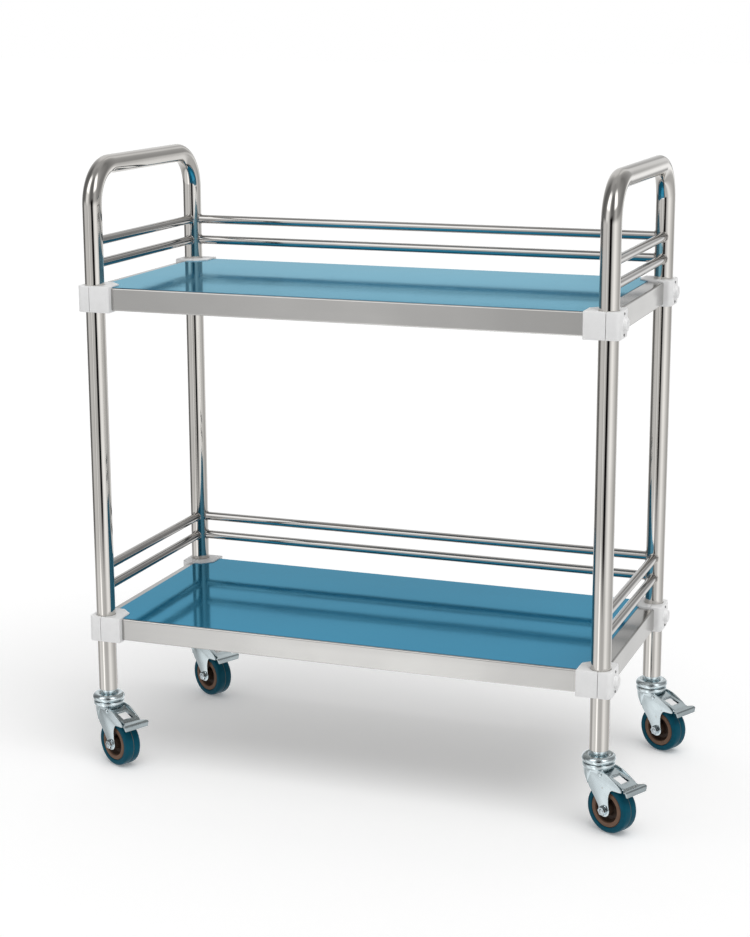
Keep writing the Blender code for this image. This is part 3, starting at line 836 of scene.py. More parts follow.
@dataclass
class Shelf:
    """A pressed pan with its film."""

    layout: Layout
    level: Level
    clamp: ClampSizes
    overhang: Pair = (0.0065, 0.0095)
    sheet: float = 0.0012
    edge: float = 0.0022
    edge_steps: int = 6
    fold: float = 0.3
    hem: float = 0.008
    guard: float = 0.0005

    def outline(self) -> list[Pair]:
        """Cut the corners of a rectangle round the clamps.

        Returns:
            The pan's outline, counter-clockwise.
        """
        half_x, half_y = self.layout.half_span
        center_x, center_y = self.layout.middle
        reach = self.clamp.inner + self.clamp.gap
        cut = self.clamp.cut + self.clamp.gap * math.tan(math.pi / 8)
        steps = [(-self.overhang[0], reach), (cut, reach), (reach, cut), (reach, -self.overhang[1])]
        points = []
        for side_x, side_y in oblong((-1, -1), (1, 1)):
            corner = [(center_x + side_x * (half_x - u), center_y + side_y * (half_y - v)) for u, v in steps]
            points += corner if side_x * side_y > 0 else corner[::-1]
        return points

    def build(self) -> None:
        """Make the pan of rows of one outline: flat top, bent edge, skirt and hem. Lay the film on."""
        node = f"{self.level.value}_shelf"
        low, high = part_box(node)
        top, bottom = high[2], low[2]
        angles = np.radians(np.linspace(0, 90, self.edge_steps + 1))
        bend = [(self.edge * (1 - math.sin(a)), top - self.edge * (1 - math.cos(a))) for a in angles]
        flat = [(0.0, top - self.edge - self.guard), (0.0, bottom + self.sheet + self.guard)]
        slant = self.fold * self.sheet
        fold = [(0.0, bottom + self.sheet), (slant, bottom + slant), (self.sheet, bottom)]
        lip = [(self.hem, bottom), (self.hem, bottom + self.sheet)]
        inside = [(self.sheet, bottom + self.sheet), (self.sheet, top - self.sheet)]
        shell = stacked(self.outline(), bend + flat + fold + lip + inside)
        make_piece(shell, Dressing(f"{node}_pan", SATIN, "frame", (node,)))
        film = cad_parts[f"{self.level.value}_film"]
        film.data.materials.clear()
        film.data.materials.append(FILM.material())
        LOG.info("%s_film: film laid on", self.level.value)


@dataclass
class Clamp:
    """Two plastic halves round a post, with a bolt cap and two screws on the outer one."""

    layout: Layout
    level: Level
    corner: Corner
    sizes: ClampSizes

    def _outlines(self) -> dict[str, list[Pair]]:
        """Draw both halves, u inwards along X and v inwards along Y, the inner one with a corner cut off.

        Returns:
            The counter-clockwise outlines.
        """
        size = self.sizes
        face = size.seam / 2
        outer, inner = size.outer, size.inner
        bore = self.layout.tube_radius + size.gap
        tilt = math.degrees(math.asin(face / bore))
        r = size.round_outer
        low = arc((r - outer, r - outer), r, 270, 180, steps=8)
        high = arc((r - outer, inner - r), r, 180, 90, steps=8)
        hole = arc((0, 0), bore, 90 + tilt, 270 - tilt, steps=24)
        outer_half = [(-face, -outer), *low, *high, (-face, inner), *hole][::-1]
        r = size.round_inner
        front = arc((inner - r, r - outer), r, 270, 360, steps=4)
        hole = arc((0, 0), bore, 90 - tilt, tilt - 90, steps=24)
        cut = [(inner, size.cut), (size.cut, inner)]
        return {"inner": [(face, -outer), *front, *cut, (face, inner), *hole], "outer": outer_half}

    def build(self) -> None:
        """Make both halves, the cap and the screws at this corner."""
        size = self.sizes
        stem = f"{self.level.value}_{self.corner.label}_clamp"
        low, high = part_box(f"{stem}_inner")
        middle = (low[2] + high[2]) / 2
        flip = np.array((-self.corner.side_x, -self.corner.side_y))
        for half, outline in self._outlines().items():
            points = np.array(outline) * flip
            if flip[0] * flip[1] < 0:
                points = points[::-1]
            points = points + np.array(self.layout.post(self.corner))
            shell = rounded_prism(points, low[2], high[2], size.rim)
            if half == "outer":
                shell = merged(shell, self._cap().moved(self._on_face(middle)))
            make_piece(shell, Dressing(f"{stem}_{half}_half", WHITE, "frame", (f"{stem}_{half}",)))
        screw = turned([(share * size.screw_radius, height) for share, height in size.screw_head], sides=20)
        screws = (screw.moved(self._on_face(middle + side * size.screw_offset)) for side in (-1, 1))
        make_piece(merged(*screws), Dressing(f"{stem}_screws", SCREW, "frame"))

    def _on_face(self, z: float) -> Matrix:
        """Place a turned piece on the clamp's outer face, its axis pointing out.

        Args:
            z: Its height.

        Returns:
            The place.
        """
        x, y = self.layout.post(self.corner)
        side = self.corner.side_x
        at = (x + side * self.sizes.outer, y - self.corner.side_y * self.sizes.cap_offset, z)
        return Matrix.Translation(at) @ Matrix.Rotation(side * QUARTER_TURN, 4, "Y")

    def _cap(self) -> Shell:
        """Turn the bolt cap: a button with a rounded edge and a shallow dish.

        Returns:
            The closed shell.
        """
        size = self.sizes
        r, h, edge = size.cap_radius, size.cap_height, size.cap_edge
        rim = arc((r - edge, h - edge), edge, *size.cap_angles, steps=5)
        dish = [(share * r, h + depth) for share, depth in size.cap_dish]
        return turned([(r, -size.cap_root), (r, h - edge), *rim, *dish], sides=40)


@dataclass
class Caster:
    """Braked swivel caster: stem and dome, fork, axle bolt, wheel and pedal.

    Its own axes are X along the trail from the swivel axis, Y along the axle and Z up from the floor. Tables
    hold points of a profile or outline, some of them measured from another size.
    """

    layout: Layout
    corner: Corner
    gap: float = 0.0003
    crown_z: float = 0.080
    sheet: float = 0.002
    stem_wall: float = 0.0015
    stem_end: Outline = ((-0.002, 0.033), (0.0, 0.031), (0.0, 0.0))
    collar_radius: float = 0.010
    collar: Outline = ((0.0, -0.0003), (0.0, -0.003), (-0.0008, -0.0036), (0.0, -0.0042))
    neck: Outline = ((0.0, -0.0034), (0.0008, -0.0042))
    dome_radius: float = 0.0215
    dome_bottom: float = 0.0863
    dome_top: float = 0.0953
    crest_shift: float = 0.0004
    crest_rise: float = 0.0042
    crest_angles: Pair = (172, -42)
    pin_radius: float = 0.0052
    pin_head: Outline = ((0.0050, -0.0003), (0.0080, -0.0003), (0.0080, -0.0033))
    race_radius: float = 0.0205
    race_top: float = 0.086
    race_rim: float = 0.0012
    race_lift: float = 0.0006
    race_bore: float = 0.0056
    hood_angles: Pair = (52, 308)
    hood_grid: tuple[int, int] = (65, 20)
    hood_flank: float = 0.02
    hood_tuck: float = 0.0004
    hood_least: float = 0.0004
    hood_proud: float = 0.0001
    hood_top: float = 0.0022
    hood_middle: float = -0.004
    hood_shift: float = 4
    hood_low: float = 0.0598
    hood_rise: float = 0.0057
    hood_powers: Pair = (3, 0.7)
    flare: float = 0.006
    fork_inner: float = 0.014
    fork_outer: float = 0.016
    eye_radius: float = 0.0085
    eye_angles: Pair = (160, 385)
    cheek_rim: float = 0.0005
    cheek_rise: float = 0.001
    cheek_back: Outline = ((0.0030, 0.0508), (0.0090, 0.0432))
    cheek_throat: Outline = ((0.0295, 0.0425), (0.0295, 0.052))
    wing_drop: float = 0.0195
    wing: Outline = ((0.0335, 0.0), (0.041, 0.0), (0.050, 0.0005), (0.050, 0.003))
    wing_tip: Outline = ((0.047, 0.0672), (0.034, 0.0745))
    wing_end: float = 0.021
    rivet: Outline = ((0.0032, -0.0005), (0.0032, 0.0004), (0.0026, 0.0011), (0.0012, 0.0014))
    axle_radius: float = 0.004
    shank_end: float = 0.003
    washer: Outline = ((0.0063, 0.0), (0.0063, 0.0004), (0.0060, 0.0007), (0.0040, 0.0007))
    nut_radius: float = 0.0060
    nut_base: float = 0.0008
    nut_height: float = 0.0044
    nut_chamfer: float = 0.0006
    nut_land: Pair = (0.86, 0.55)
    stud: Outline = ((0.0029, 0.0), (0.0029, 0.0010), (0.0023, 0.0014))
    hub_inset: float = 0.0006
    hub_boss: Outline = ((0.0072, -0.0003), (0.0078, -0.0009))
    hub_web: Outline = ((0.0084, 0.0050), (0.0100, 0.0034), (0.0140, 0.0040), (0.0164, 0.0070))
    hub_dish: Outline = ((0.0172, -0.0008), (0.0178, 0.0))
    hub_rim: Outline = ((-0.0008, 0.0), (0.0, -0.0008))
    tyre_width: float = 0.024
    tyre_depth: float = 0.008
    tyre_side: Outline = ((0.0, -0.0012), (0.0008, -0.0002))
    shoulder: float = 0.0042
    shoulder_drop: float = 0.0002
    shoulder_angles: Pair = (90, 6)
    tread_start: float = 0.002
    groove: Outline = ((0.0, 0.0012), (-0.0001, 0.0007), (-0.0006, 0.0003))
    groove_half: float = 0.0005
    pivot: Pair = (0.016, 0.0758)
    barrel: float = 0.002
    barrel_start: float = 335
    barrel_steps: int = 14
    pedal_half: float = 0.0134
    pedal_slope: float = 18.4
    pedal_length: float = 0.037
    pedal_sheet: float = 0.0018
    pedal_edge: float = 0.00035
    edge_segments: int = 2
    pedal_border: float = 0.9
    window: Triple = (0.0135, 0.028, 0.008)
    before_window: Pair = (0.005, 0.009)
    after_window: float = 0.033
    lip_slope: float = 4
    lip_half: float = 0.020
    lip_stops: Sequence[float] = (0.0015, 0.003, 0.0055, 0.0075)
    lip_wide: int = 2
    lip_blend: float = 0.35
    lip_turn: float = 0.0015
    lip_angles: Triple = (30, 60, 80)
    lip_foot: Pair = (0.0004, -0.0055)
    foot_taper: float = 0.002
    pad_spare: float = 0.0007
    pad_gap: float = 0.0022
    pad_layer: Triple = (-0.0016, -0.0003, 0.0004)
    rib_span: Pair = (0.0028, 0.0006)
    rib_layer: Triple = (0.0004, 0.0019, 0.0007)
    shoe_place: Pair = (0.029, -0.0075)
    shoe_size: Triple = (0.003, 0.016, 0.0105)
    shoe_lift: float = 0.0002
    shoe_rim: float = 0.0005
    shaft_radius: float = 0.0016

    def __post_init__(self) -> None:
        """Read the wheel's place from the frame and work out the caster's own axes."""
        low, high = (np.array(corner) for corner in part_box(f"{self.corner.label}_caster_tyre"))
        x, y = self.layout.post(self.corner)
        middle = (low + high) / 2
        self.trail = float(math.hypot(middle[0] - x, middle[1] - y))
        self.wheel_radius = float(high[2] - low[2]) / 2
        azimuth = math.atan2(middle[1] - y, middle[0] - x)
        self.place = Matrix.Translation((x, y, 0)) @ Matrix.Rotation(azimuth, 4, "Z")
        self.axle = self.place @ Matrix.Translation((self.trail, 0, float(middle[2])))

    def build(self) -> None:
        """Make every piece of the caster."""
        label = self.corner.label
        fork, wheel = f"{label}_fork", f"{label}_wheel"
        pieces = (
            (self._stem(), "stem_and_dome", ZINC, "frame", "stem"),
            (self._fork(), "pressed_fork", ZINC, fork, "fork"),
            (self._bolt(), "axle_bolt", BOLT, fork, "axle"),
            (self._hub(), "wheel_hub", HUB, wheel, "hub"),
            (self._tyre(), "wheel_tyre", TYRE, wheel, "tyre"),
        )
        for shell, name, finish, body, node in pieces:
            make_piece(shell, Dressing(f"{label}_{name}", finish, body, (f"{label}_caster_{node}",)))
        self._pedal()

    def _stem(self) -> Shell:
        """Turn the stem, its necked collar, the dome with a dish round the neck, and the kingpin.

        Returns:
            The closed shell.
        """
        bottom = self.layout.tube_bottom
        ring = (self.dome_radius + self.collar_radius) / 2 + self.crest_shift
        crest = (ring, self.dome_bottom + self.crest_rise)
        profile = [
            *shifted(self.stem_end, self.layout.tube_radius - self.stem_wall, bottom),
            *shifted(self.collar, self.collar_radius, bottom),
            *shifted(self.neck, self.collar_radius, self.dome_top),
            *arc(crest, self.dome_radius - ring, *self.crest_angles, steps=20),
            (self.pin_radius, self.dome_bottom),
            *shifted(self.pin_head, 0, self.crown_z),
        ]
        return turned(profile, sides=64).moved(Matrix.Translation((*self.layout.post(self.corner), 0)))

    def _cheek_outline(self) -> Array:
        """Draw a fork cheek: raked back, eye round the axle, throat and wing.

        Returns:
            The rounded outline, counter-clockwise.
        """
        top = self.crown_z + self.cheek_rise
        flank = self.hood_middle - self.gap
        eye = arc((self.trail, self.wheel_radius), self.eye_radius, *self.eye_angles, steps=18)
        wing = shifted(self.wing, 0, self.crown_z - self.wing_drop)
        back = [(flank, top), (flank, self.hood_low), *self.cheek_back]
        tip = [*self.wing_tip, (self.wing_end, top)]
        return softened([*back, *eye, *self.cheek_throat, *wing, *tip], rounds=2)

    def _fork(self) -> Shell:
        """Press the fork: race ring, rounded hood and two cheeks with rivet heads at the pedal's pivot.

        Returns:
            The closed shells as one.
        """
        rim = self.race_rim
        low = self.crown_z + self.race_lift
        upper_edge = arc((self.race_radius - rim, self.race_top - rim), rim, 90, 0, steps=5)
        lower_edge = arc((self.race_radius - rim, low + rim), rim, 0, -90, steps=5)
        race = [(self.race_bore, self.race_top), *upper_edge, *lower_edge, (self.race_bore, low)]
        shells = [turned(race, sides=64, ring_rows=True), self._hood()]
        outline = self._cheek_outline()
        rivet = turned(self.rivet, sides=24)
        for side in (-1, 1):
            near, far = sorted((side * self.fork_inner, side * self.fork_outer))
            cheek = rounded_prism(outline, -far, -near, self.cheek_rim).moved(UPRIGHT)
            at = Matrix.Translation((self.pivot[0], side * self.fork_outer, self.pivot[1]))
            shells += [cheek, rivet.moved(at @ Matrix.Rotation(-side * QUARTER_TURN, 4, "X"))]
        return merged(*shells).moved(self.place)

    def _hood(self) -> Shell:
        """Press the round back of the fork.

        An angle runs from one flank's front over the back to the other's. The wall falls from the race's
        circle to the cheeks' width within the flare, and its back closes in by a power of the fall. The lower
        edge meets the cheeks' back edges and rises towards the middle; on the flanks only the flare is made.
        The inner wall follows one sheet inside.

        Returns:
            The closed shell.
        """
        columns, rows = self.hood_grid
        angle = np.radians(np.linspace(*self.hood_angles, columns))[:, None]
        forward = np.cos(angle) > self.hood_flank
        behind = np.clip(-np.cos(angle), 0, 1)
        race = self.race_radius - self.hood_tuck
        proud = self.fork_outer + self.hood_proud
        top = self.crown_z + self.hood_top
        low = np.where(forward, top - self.flare, self.hood_low + self.hood_rise * behind)
        height = top - (top - low) * np.linspace(0, 1, rows)
        share = (top - height) / (top - self.hood_low)
        middle = self.hood_middle * np.minimum(1, self.hood_shift * share)
        fall, closing = self.hood_powers
        reach = (race + middle) * np.maximum(1 - share ** fall, 0) ** closing
        width = proud + (race - proud) * np.maximum(1 - (top - height) / self.flare, 0) ** 2
        walls = []
        for sheet in (0.0, self.sheet):
            back = middle + np.maximum(reach - sheet, self.hood_least) * np.cos(angle)
            along = np.where(forward, race * np.cos(angle), back)
            across = (width - sheet) * np.abs(np.sin(angle))
            across = np.where(forward, np.maximum(across, proud - sheet), across)
            walls.append(np.stack((along, across * np.sign(np.sin(angle)), height), axis=-1))
        return grid_shell(np.concatenate((walls[0], walls[1][:, ::-1]), axis=1))

    def _bolt(self) -> Shell:
        """Turn the axle bolt: round shank, and at each end a washer, a chamfered hexagon and a stud.

        Returns:
            The closed shells as one.
        """
        end = self.fork_outer + self.shank_end
        shells = [turned([(self.axle_radius, -end), (self.axle_radius, end)], sides=32).moved(ALONG_Y)]
        radius, height = self.nut_radius, self.nut_height
        land = [(share * radius, height + self.nut_chamfer) for share in self.nut_land]
        ends = (
            turned(self.washer, sides=40),
            turned([(radius, self.nut_base), (radius, height), *land], sides=48, corners=6),
            turned(shifted(self.stud, 0, height), sides=28),
        )
        for side, turn in ((-1, UPRIGHT), (1, ALONG_Y)):
            at = Matrix.Translation((0, side * self.fork_outer, 0)) @ turn
            shells += [part.moved(at) for part in ends]
        return merged(*shells).moved(self.axle)

    def _hub(self) -> Shell:
        """Turn the hub in one: bored boss, dished web and a rim with a broad face.

        Returns:
            The closed shell.
        """
        rim = self.wheel_radius - self.tyre_depth - self.gap
        face = self.tyre_width / 2 - self.hub_inset
        half = [
            (self.axle_radius + self.gap, self.fork_inner - self.gap),
            *shifted(self.hub_boss, 0, self.fork_inner),
            *self.hub_web,
            *shifted(self.hub_dish, 0, face),
            *shifted(self.hub_rim, rim, face),
        ]
        return turned(both_sides(half), sides=72, ring_rows=True).moved(self.axle @ ALONG_Y)

    def _tyre(self) -> Shell:
        """Turn the tyre: rounded shoulders, a crowned tread and a fine groove along its middle.

        Returns:
            The closed shell, its groove marked by a radius of 0.
        """
        half = self.tyre_width / 2
        outer = self.wheel_radius
        shoulder = self.shoulder
        center = (outer - shoulder - self.shoulder_drop, half - shoulder)
        profile = [
            *shifted(self.tyre_side, outer - self.tyre_depth, half),
            *arc(center, shoulder, *self.shoulder_angles, steps=8),
            (outer, half - shoulder - self.tread_start),
            *shifted(self.groove, outer, 0),
        ]
        shell = turned(both_sides(profile), sides=96, ring_rows=True)
        shell.radius = np.where(np.abs(shell.points[:, 2]) < self.groove_half, 0, shell.radius)
        return shell.moved(self.axle @ ALONG_Y)

    def _pedal_path(self) -> tuple[Array, Array]:
        """Draw the pedal's mid-line round the barrel, down the slope, along the lip and down its end.

        Returns:
            Points of reach and height, and the half width at each.
        """
        slope, ease = math.radians(self.pedal_slope), math.radians(self.lip_slope)
        barrel = arc(self.pivot, self.barrel, self.barrel_start, 90 - self.pedal_slope, self.barrel_steps)
        stops = (*self.before_window, *self.window[:2], self.after_window, self.pedal_length)
        plate = np.array(barrel[-1]) + np.outer(stops, (math.cos(slope), -math.sin(slope)))
        lip = plate[-1] + np.outer(self.lip_stops, (math.cos(ease), -math.sin(ease)))
        angle = np.radians(self.lip_angles)
        flange = lip[-1] + self.lip_turn * np.column_stack((np.sin(angle), np.cos(angle) - 1))
        path = np.concatenate((barrel, plate, lip, flange, flange[-1:] + self.lip_foot))
        wide = len(barrel) + len(plate) + self.lip_wide
        width = np.full(len(path), self.pedal_half)
        width[wide:] = self.lip_half
        width[wide - 1] += self.lip_blend * (self.lip_half - self.pedal_half)
        width[-1] -= self.foot_taper
        return path, width

    def _pedal(self) -> None:
        """Make the pedal, a sheet of the path's points at shares of the width with a window left open."""
        label = self.corner.label
        body = f"{label}_brake"
        path, width = self._pedal_path()
        hole = self.window[2] / self.pedal_half
        share = np.array((-1, -self.pedal_border, -hole, 0, hole, self.pedal_border, 1))
        along, height = (np.repeat(column[:, None], len(share), axis=1) for column in path.T)
        points = np.stack((along, width[:, None] * share, height), axis=-1).reshape(-1, 3)
        quads = sheet_quads(len(path), len(share))
        keep = np.ones(quads.shape[:2], dtype=bool)
        middle = len(share) // 2
        keep[self.barrel_steps + 1 + len(self.before_window), middle - 1:middle + 1] = False
        plate = Shell(points, [tuple(quad) for quad in quads[keep].tolist()], np.zeros(len(points)))
        dressing = Dressing(f"{label}_pedal_plate", SHADED_PEDAL_ZINC, body, (f"{label}_brake_pedal",))
        piece = make_piece(plate.moved(self.place), dressing)
        solid = piece.modifiers.new("sheet", "SOLIDIFY")
        solid.thickness = self.pedal_sheet
        solid.offset = 0.0
        edges = piece.modifiers.new("edges", "BEVEL")
        edges.width = self.pedal_edge
        edges.segments = self.edge_segments
        edges.limit_method = "ANGLE"
        make_piece(self._shoe(), Dressing(f"{label}_brake_shoe", ZINC, body))
        make_piece(self._pad(), Dressing(f"{label}_window_pad", WHITE, body))

    def _on_slope(self) -> Matrix:
        """Place a piece on the pedal's plate: X down the slope from the barrel, Z out of its top.

        Returns:
            The place.
        """
        slope = math.radians(self.pedal_slope)
        at = (self.pivot[0] + self.barrel * math.sin(slope), 0, self.pivot[1] + self.barrel * math.cos(slope))
        return self.place @ Matrix.Translation(at) @ Matrix.Rotation(slope, 4, "Y")

    def _pad(self) -> Shell:
        """Make the white pad behind the pedal's window, a slab under the slope with a gap at one side.

        Returns:
            The closed shell.
        """
        start, end, half = self.window
        spare = self.pad_spare
        outline = oblong((start - spare, -half - spare), (end + spare, half - self.pad_gap))
        return rounded_prism(outline, *self.pad_layer).moved(self._on_slope())

    def _rib(self) -> Shell:
        """Press the rib up across the slope above the window.

        Returns:
            The closed shell.
        """
        start, _, half = self.window
        outline = oblong((start - self.rib_span[0], -half), (start - self.rib_span[1], half))
        return rounded_prism(softened(outline, rounds=2), *self.rib_layer).moved(self._on_slope())

    def _shoe(self) -> Shell:
        """Make the brake shoe under the pedal, the pivot's shaft and the pedal's rib.

        Returns:
            The closed shells as one.
        """
        low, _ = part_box(f"{self.corner.label}_brake_pedal")
        x, z = self.pivot
        reach, top = x + self.shoe_place[0], z + self.shoe_place[1]
        length, width, height = self.shoe_size
        bottom = max(low[2] + self.shoe_lift, top - height)
        outline = oblong((reach, -width / 2), (reach + length, width / 2))
        foot = rounded_prism(outline, bottom, top, self.shoe_rim)
        ends = [(self.shaft_radius, -self.fork_outer), (self.shaft_radius, self.fork_outer)]
        shaft = turned(ends, sides=20).moved(Matrix.Translation((x, 0, z)) @ ALONG_Y)
        return merged(merged(foot, shaft).moved(self.place), self._rib())


class Ring(Enum):
    """Brightness that mirrors see round the cart, from the floor up.

    Each ring has the elevations over which it takes over from the one below, and levels by azimuth.
    Azimuths run to the right from the camera's direction, in degrees.
    """

    FLOOR = (-90, -89, (
        (-180, 0.90), (-135, 0.60), (-120, 0.45), (-108, 0.45), (-98, 0.75), (-89, 0.95), (-77, 0.95),
        (-60, 0.84), (-50, 0.95), (-41, 2.00), (-34, 1.22), (-28, 0.80), (-17, 0.66), (0, 0.62), (14, 0.68),
        (26, 1.05), (41, 1.20), (53, 1.05), (67, 0.85), (97, 0.60), (125, 0.60), (142, 1.00), (180, 0.90)))
    WALL = (-16, -14, (
        (-180, 1.20), (-165, 1.00), (-150, 0.45), (-125, 0.14), (-108, 0.14), (-100, 0.55), (-90, 0.78),
        (-60, 0.74), (-50, 0.60), (-41, 1.08), (-34, 0.58), (-28, 0.72), (-17, 0.68), (0, 0.60), (12, 0.72),
        (20, 0.95), (32, 1.18), (41, 1.30), (53, 1.14), (67, 0.92), (81, 0.74), (97, 0.60), (116, 0.50),
        (132, 0.62), (142, 1.20), (149, 1.15), (153, 0.45), (158, 0.40), (164, 0.65), (171, 0.75),
        (175, 1.20)))
    HAZE = (-4, 6, (
        (-180, 0.84), (-165, 0.80), (-150, 0.45), (-120, 0.15), (-85, 0.20), (-72, 0.45), (-64, 1.10),
        (-46, 1.10), (-36, 0.80), (-26, 0.45), (-12, 0.18), (8, 0.18), (20, 0.30), (29, 0.60), (46, 0.60),
        (58, 0.40), (85, 0.30), (115, 0.25), (136, 0.40), (146, 0.50), (152, 0.82), (158, 0.80), (162, 0.45),
        (169, 0.60), (174, 0.84)))
    LAMPS = (20, 28, (
        (-180, 0.80), (-165, 0.80), (-150, 0.45), (-120, 0.15), (-85, 0.20), (-74, 0.45), (-66, 2.00),
        (-40, 2.00), (-30, 0.60), (-22, 0.30), (-12, 0.18), (8, 0.18), (18, 0.40), (25, 2.00), (48, 2.00),
        (58, 0.50), (85, 0.35), (115, 0.25), (136, 0.40), (146, 0.55), (152, 0.82), (158, 0.80), (166, 0.60),
        (174, 0.80)))
    CEILING = (50, 70, (
        (-180, 0.50), (-90, 0.42), (-45, 0.38), (0, 0.35), (45, 0.38), (90, 0.42), (180, 0.50)))

    def __init__(self, low: float, high: float, levels: Outline) -> None:
        """Keep the ring's numbers.

        Args:
            low: Elevation where it begins to take over.
            high: Elevation where it has taken over.
            levels: Azimuths and levels.
        """
        self.low = low
        self.high = high
        self.levels = levels

    def stops(self, brightest: float) -> list[Pair]:
        """Return the stops as shares of a full turn and of the brightest level."""
        return [((azimuth + 180) / 360, level / brightest) for azimuth, level in self.levels]


@dataclass
class Studio:
    """Floor, light, what mirrors see, and camera."""

    layout: Layout
    camera_offset: Triple = (0.8906, -2.4574, 1.0072)
    camera_yaw: float = 20.126
    camera_pitch: float = -13.088
    camera_roll: float = -0.176
    focal_pixels: float = 2014.3
    sensor: float = 36.0
    view_depth: float = 200.0
    white: float = 1.0
    fill: float = 0.55
    brightest: float = 2.0
    floor_half: float = 30.0
    floor_drop: float = 0.0002
    floor_white: float = 1.03
    floor_bounce: Triple = (0.86, 0.86, 0.86)
    glow: float = 0.17
    lamp_strength: float = 1.15
    lamp_tilt: float = 25.0
    lamp_turn: float = 50.0
    lamp_angle: float = 45.0
    flag_shift: float = -0.12
    flag_columns: tuple[float, ...] = (-0.85, -0.34, 0.34, 0.82)
    flag_rows: tuple[float, ...] = (-0.47, -0.27, 1.0, 1.4)
    flag_cover: tuple[float, ...] = (0.0, 1.0, 1.0, 0.0)

    def build(self) -> None:
        """Make the whole studio."""
        scene = bpy.context.scene
        scene.view_settings.view_transform = "Standard"
        self._camera(scene)
        self._world(scene)
        self._floor()
        self._lamp(scene)
        self._flag()

    def _camera(self, scene: bpy.types.Scene) -> None:
        """Set the camera at the photograph's place and angle.

        Args:
            scene: The scene that it looks at.
        """
        data = bpy.data.cameras.new("camera")
        data.sensor_fit = "VERTICAL"
        data.sensor_height = self.sensor
        data.lens = self.focal_pixels * self.sensor / IMAGE_HEIGHT
        data.clip_end = self.view_depth
        camera = bpy.data.objects.new("camera", data)
        x, y = self.layout.middle
        dx, dy, dz = self.camera_offset
        camera.location = (x + dx, y + dy, dz)
        aim = Euler((math.radians(90 + self.camera_pitch), 0, math.radians(self.camera_yaw)))
        roll = Matrix.Rotation(math.radians(self.camera_roll), 3, "Z")
        camera.rotation_euler = (aim.to_matrix() @ roll).to_euler()
        scene.collection.objects.link(camera)
        scene.camera = camera

    def _world(self, scene: bpy.types.Scene) -> None:
        """Light the scene evenly with a soft fill; the camera sees white and mirrors see the rings.

        Args:
            scene: The scene that is lit.
        """
        world = bpy.data.worlds.new("studio")
        scene.world = world
        graph = Graph(world, "ShaderNodeOutputWorld")
        even = (1.0, 1.0, 1.0, 1.0)
        lights = ((even, self.fill), (even, self.white), (self._rings(graph), self.brightest))
        fill, white, rings = (
            graph.node("ShaderNodeBackground", {}, {"Color": color, "Strength": strength})
            for color, strength in lights)
        glossy, camera = (
            graph.node("ShaderNodeLightPath", {}, {}, ray) for ray in ("Is Glossy Ray", "Is Camera Ray"))
        mirrored = graph.node("ShaderNodeMixShader", {}, {0: glossy, 1: fill, 2: rings})
        graph.surface(graph.node("ShaderNodeMixShader", {}, {0: camera, 1: mirrored, 2: white}))

    def _rings(self, graph: Graph) -> Value:
        """Set the brightness of the rings by the direction's azimuth and elevation.

        Args:
            graph: The world's graph.

        Returns:
            The level as a share of the brightest.
        """
        direction = graph.node("ShaderNodeTexCoord", {}, {}, "Generated")
        turn = {"Vector": direction, "Angle": math.radians(-self.camera_yaw)}
        facing = graph.node("ShaderNodeVectorRotate", {"rotation_type": "Z_AXIS"}, turn)
        right, back, up = (graph.node("ShaderNodeSeparateXYZ", {}, {0: facing}, axis) for axis in "XYZ")
        share = right.math("ARCTAN2", 0.0 - back) * (1 / FULL_TURN) + 0.5
        elevation = up.math("ARCSINE", 0.0) * math.degrees(1)
        level = None
        for ring in Ring:
            ramp = graph.node("ShaderNodeValToRGB", {"stops": ring.stops(self.brightest)}, {0: share})
            level = graph.mixed(elevation.step(ring.low, ring.high), level, ramp) if level else ramp
        return level

    @staticmethod
    def _card(name: str, cover: str, points: Array, quads: Array) -> tuple[bpy.types.Object, Graph]:
        """Make a piece of the stage.

        Args:
            name: Name of the piece.
            cover: Name of its material.
            points: Its corners.
            quads: Its faces.

        Returns:
            The piece and the empty graph of its material.
        """
        mesh = bpy.data.meshes.new(name)
        mesh.from_pydata(points.tolist(), [], quads.tolist())
        material = bpy.data.materials.new(cover)
        mesh.materials.append(material)
        card = bpy.data.objects.new(name, mesh)
        bpy.context.scene.collection.objects.link(card)
        return card, Graph(material)

    def _floor(self) -> None:
        """Lay the pale floor, a shade lighter for the camera, with its shadow kept."""
        half = self.floor_half
        points = np.insert(oblong((-half, -half), (half, half)), 2, -self.floor_drop, axis=1)
        floor, graph = self._card("floor", "floor_paper", points, np.arange(len(points))[None])
        floor.visible_glossy = False
        seen = graph.node("ShaderNodeLightPath", {}, {}, "Is Camera Ray")
        lit = self.fill + self.lamp_strength * math.cos(math.radians(self.lamp_tilt)) / math.pi
        level = self.floor_white * (1 - self.glow) / lit
        color = graph.mixed(seen, self.floor_bounce, (level, level, level))
        paper = graph.node("ShaderNodeBsdfDiffuse", {}, {"Color": color})
        glow = graph.node("ShaderNodeEmission", {}, {"Strength": seen * (self.floor_white * self.glow)})
        graph.surface(graph.node("ShaderNodeAddShader", {}, {0: paper, 1: glow}))

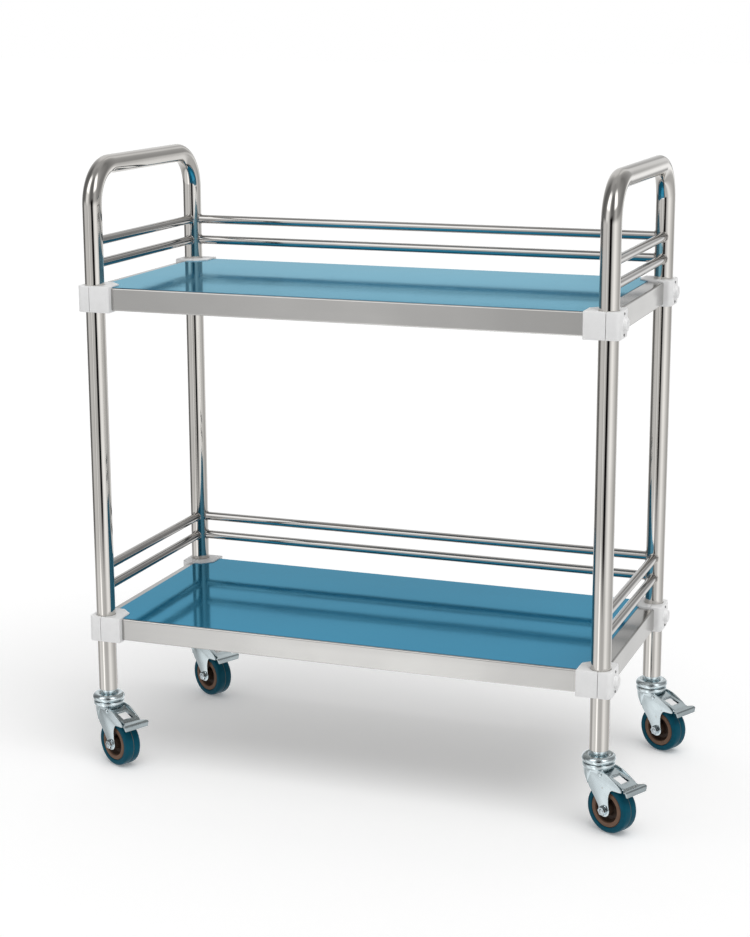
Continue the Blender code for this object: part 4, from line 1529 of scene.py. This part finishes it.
    def _lamp(self, scene: bpy.types.Scene) -> None:
        """Hang one broad soft light overhead, tilted towards the front.

        Args:
            scene: The scene that is lit.
        """
        data = bpy.data.lights.new("overhead", "SUN")
        data.energy = self.lamp_strength
        data.angle = math.radians(self.lamp_angle)
        lamp = bpy.data.objects.new("overhead", data)
        lamp.rotation_euler = Euler((math.radians(self.lamp_tilt), 0, math.radians(self.lamp_turn)))
        lamp.visible_glossy = False
        scene.collection.objects.link(lamp)

    def _flag(self) -> None:
        """Stand a dark flag where the camera is, seen by mirrors only: a grid that fades out at its edges."""
        across, up = np.meshgrid(np.array(self.flag_columns) + self.flag_shift, self.flag_rows, indexing="ij")
        yaw = math.radians(self.camera_yaw)
        x, y = np.add(self.layout.middle, self.camera_offset[:2])
        points = np.stack((x + across * math.cos(yaw), y + across * math.sin(yaw), up), axis=-1)
        quads = sheet_quads(*across.shape).reshape(-1, 4)
        flag, graph = self._card("flag", "flag_cloth", points.reshape(-1, 3), quads)
        cover = flag.data.attributes.new("cover", "FLOAT", "POINT")
        cover.data.foreach_set("value", np.outer(self.flag_cover, self.flag_cover).astype(np.float32).ravel())
        clear = graph.node("ShaderNodeBsdfTransparent", {}, {})
        dark = graph.node("ShaderNodeEmission", {}, {"Strength": 0.0})
        graph.surface(graph.node("ShaderNodeMixShader", {}, {0: graph.attribute("cover"), 1: clear, 2: dark}))
        flag.visible_camera = False
        flag.visible_diffuse = False
        flag.visible_shadow = False
        flag.visible_transmission = False


def main() -> None:
    """Build the cart's looks and the studio round it."""
    logging.basicConfig(level=logging.INFO, format="%(name)s %(message)s")
    layout = Layout.read()
    clamp = ClampSizes()
    for side in (Side.LEFT, Side.RIGHT):
        EndFrame(layout, side).build()
    for level in Level:
        for side in Side:
            for rank in Rank:
                GuardRail(layout, f"{level.value}_{side.value}_rail_{rank.value}").build()
        Shelf(layout, level, clamp).build()
        for corner in Corner:
            Clamp(layout, level, corner, clamp).build()
    for corner in Corner:
        Caster(layout, corner).build()
    Studio(layout).build()


if __name__ == "__main__":
    main()
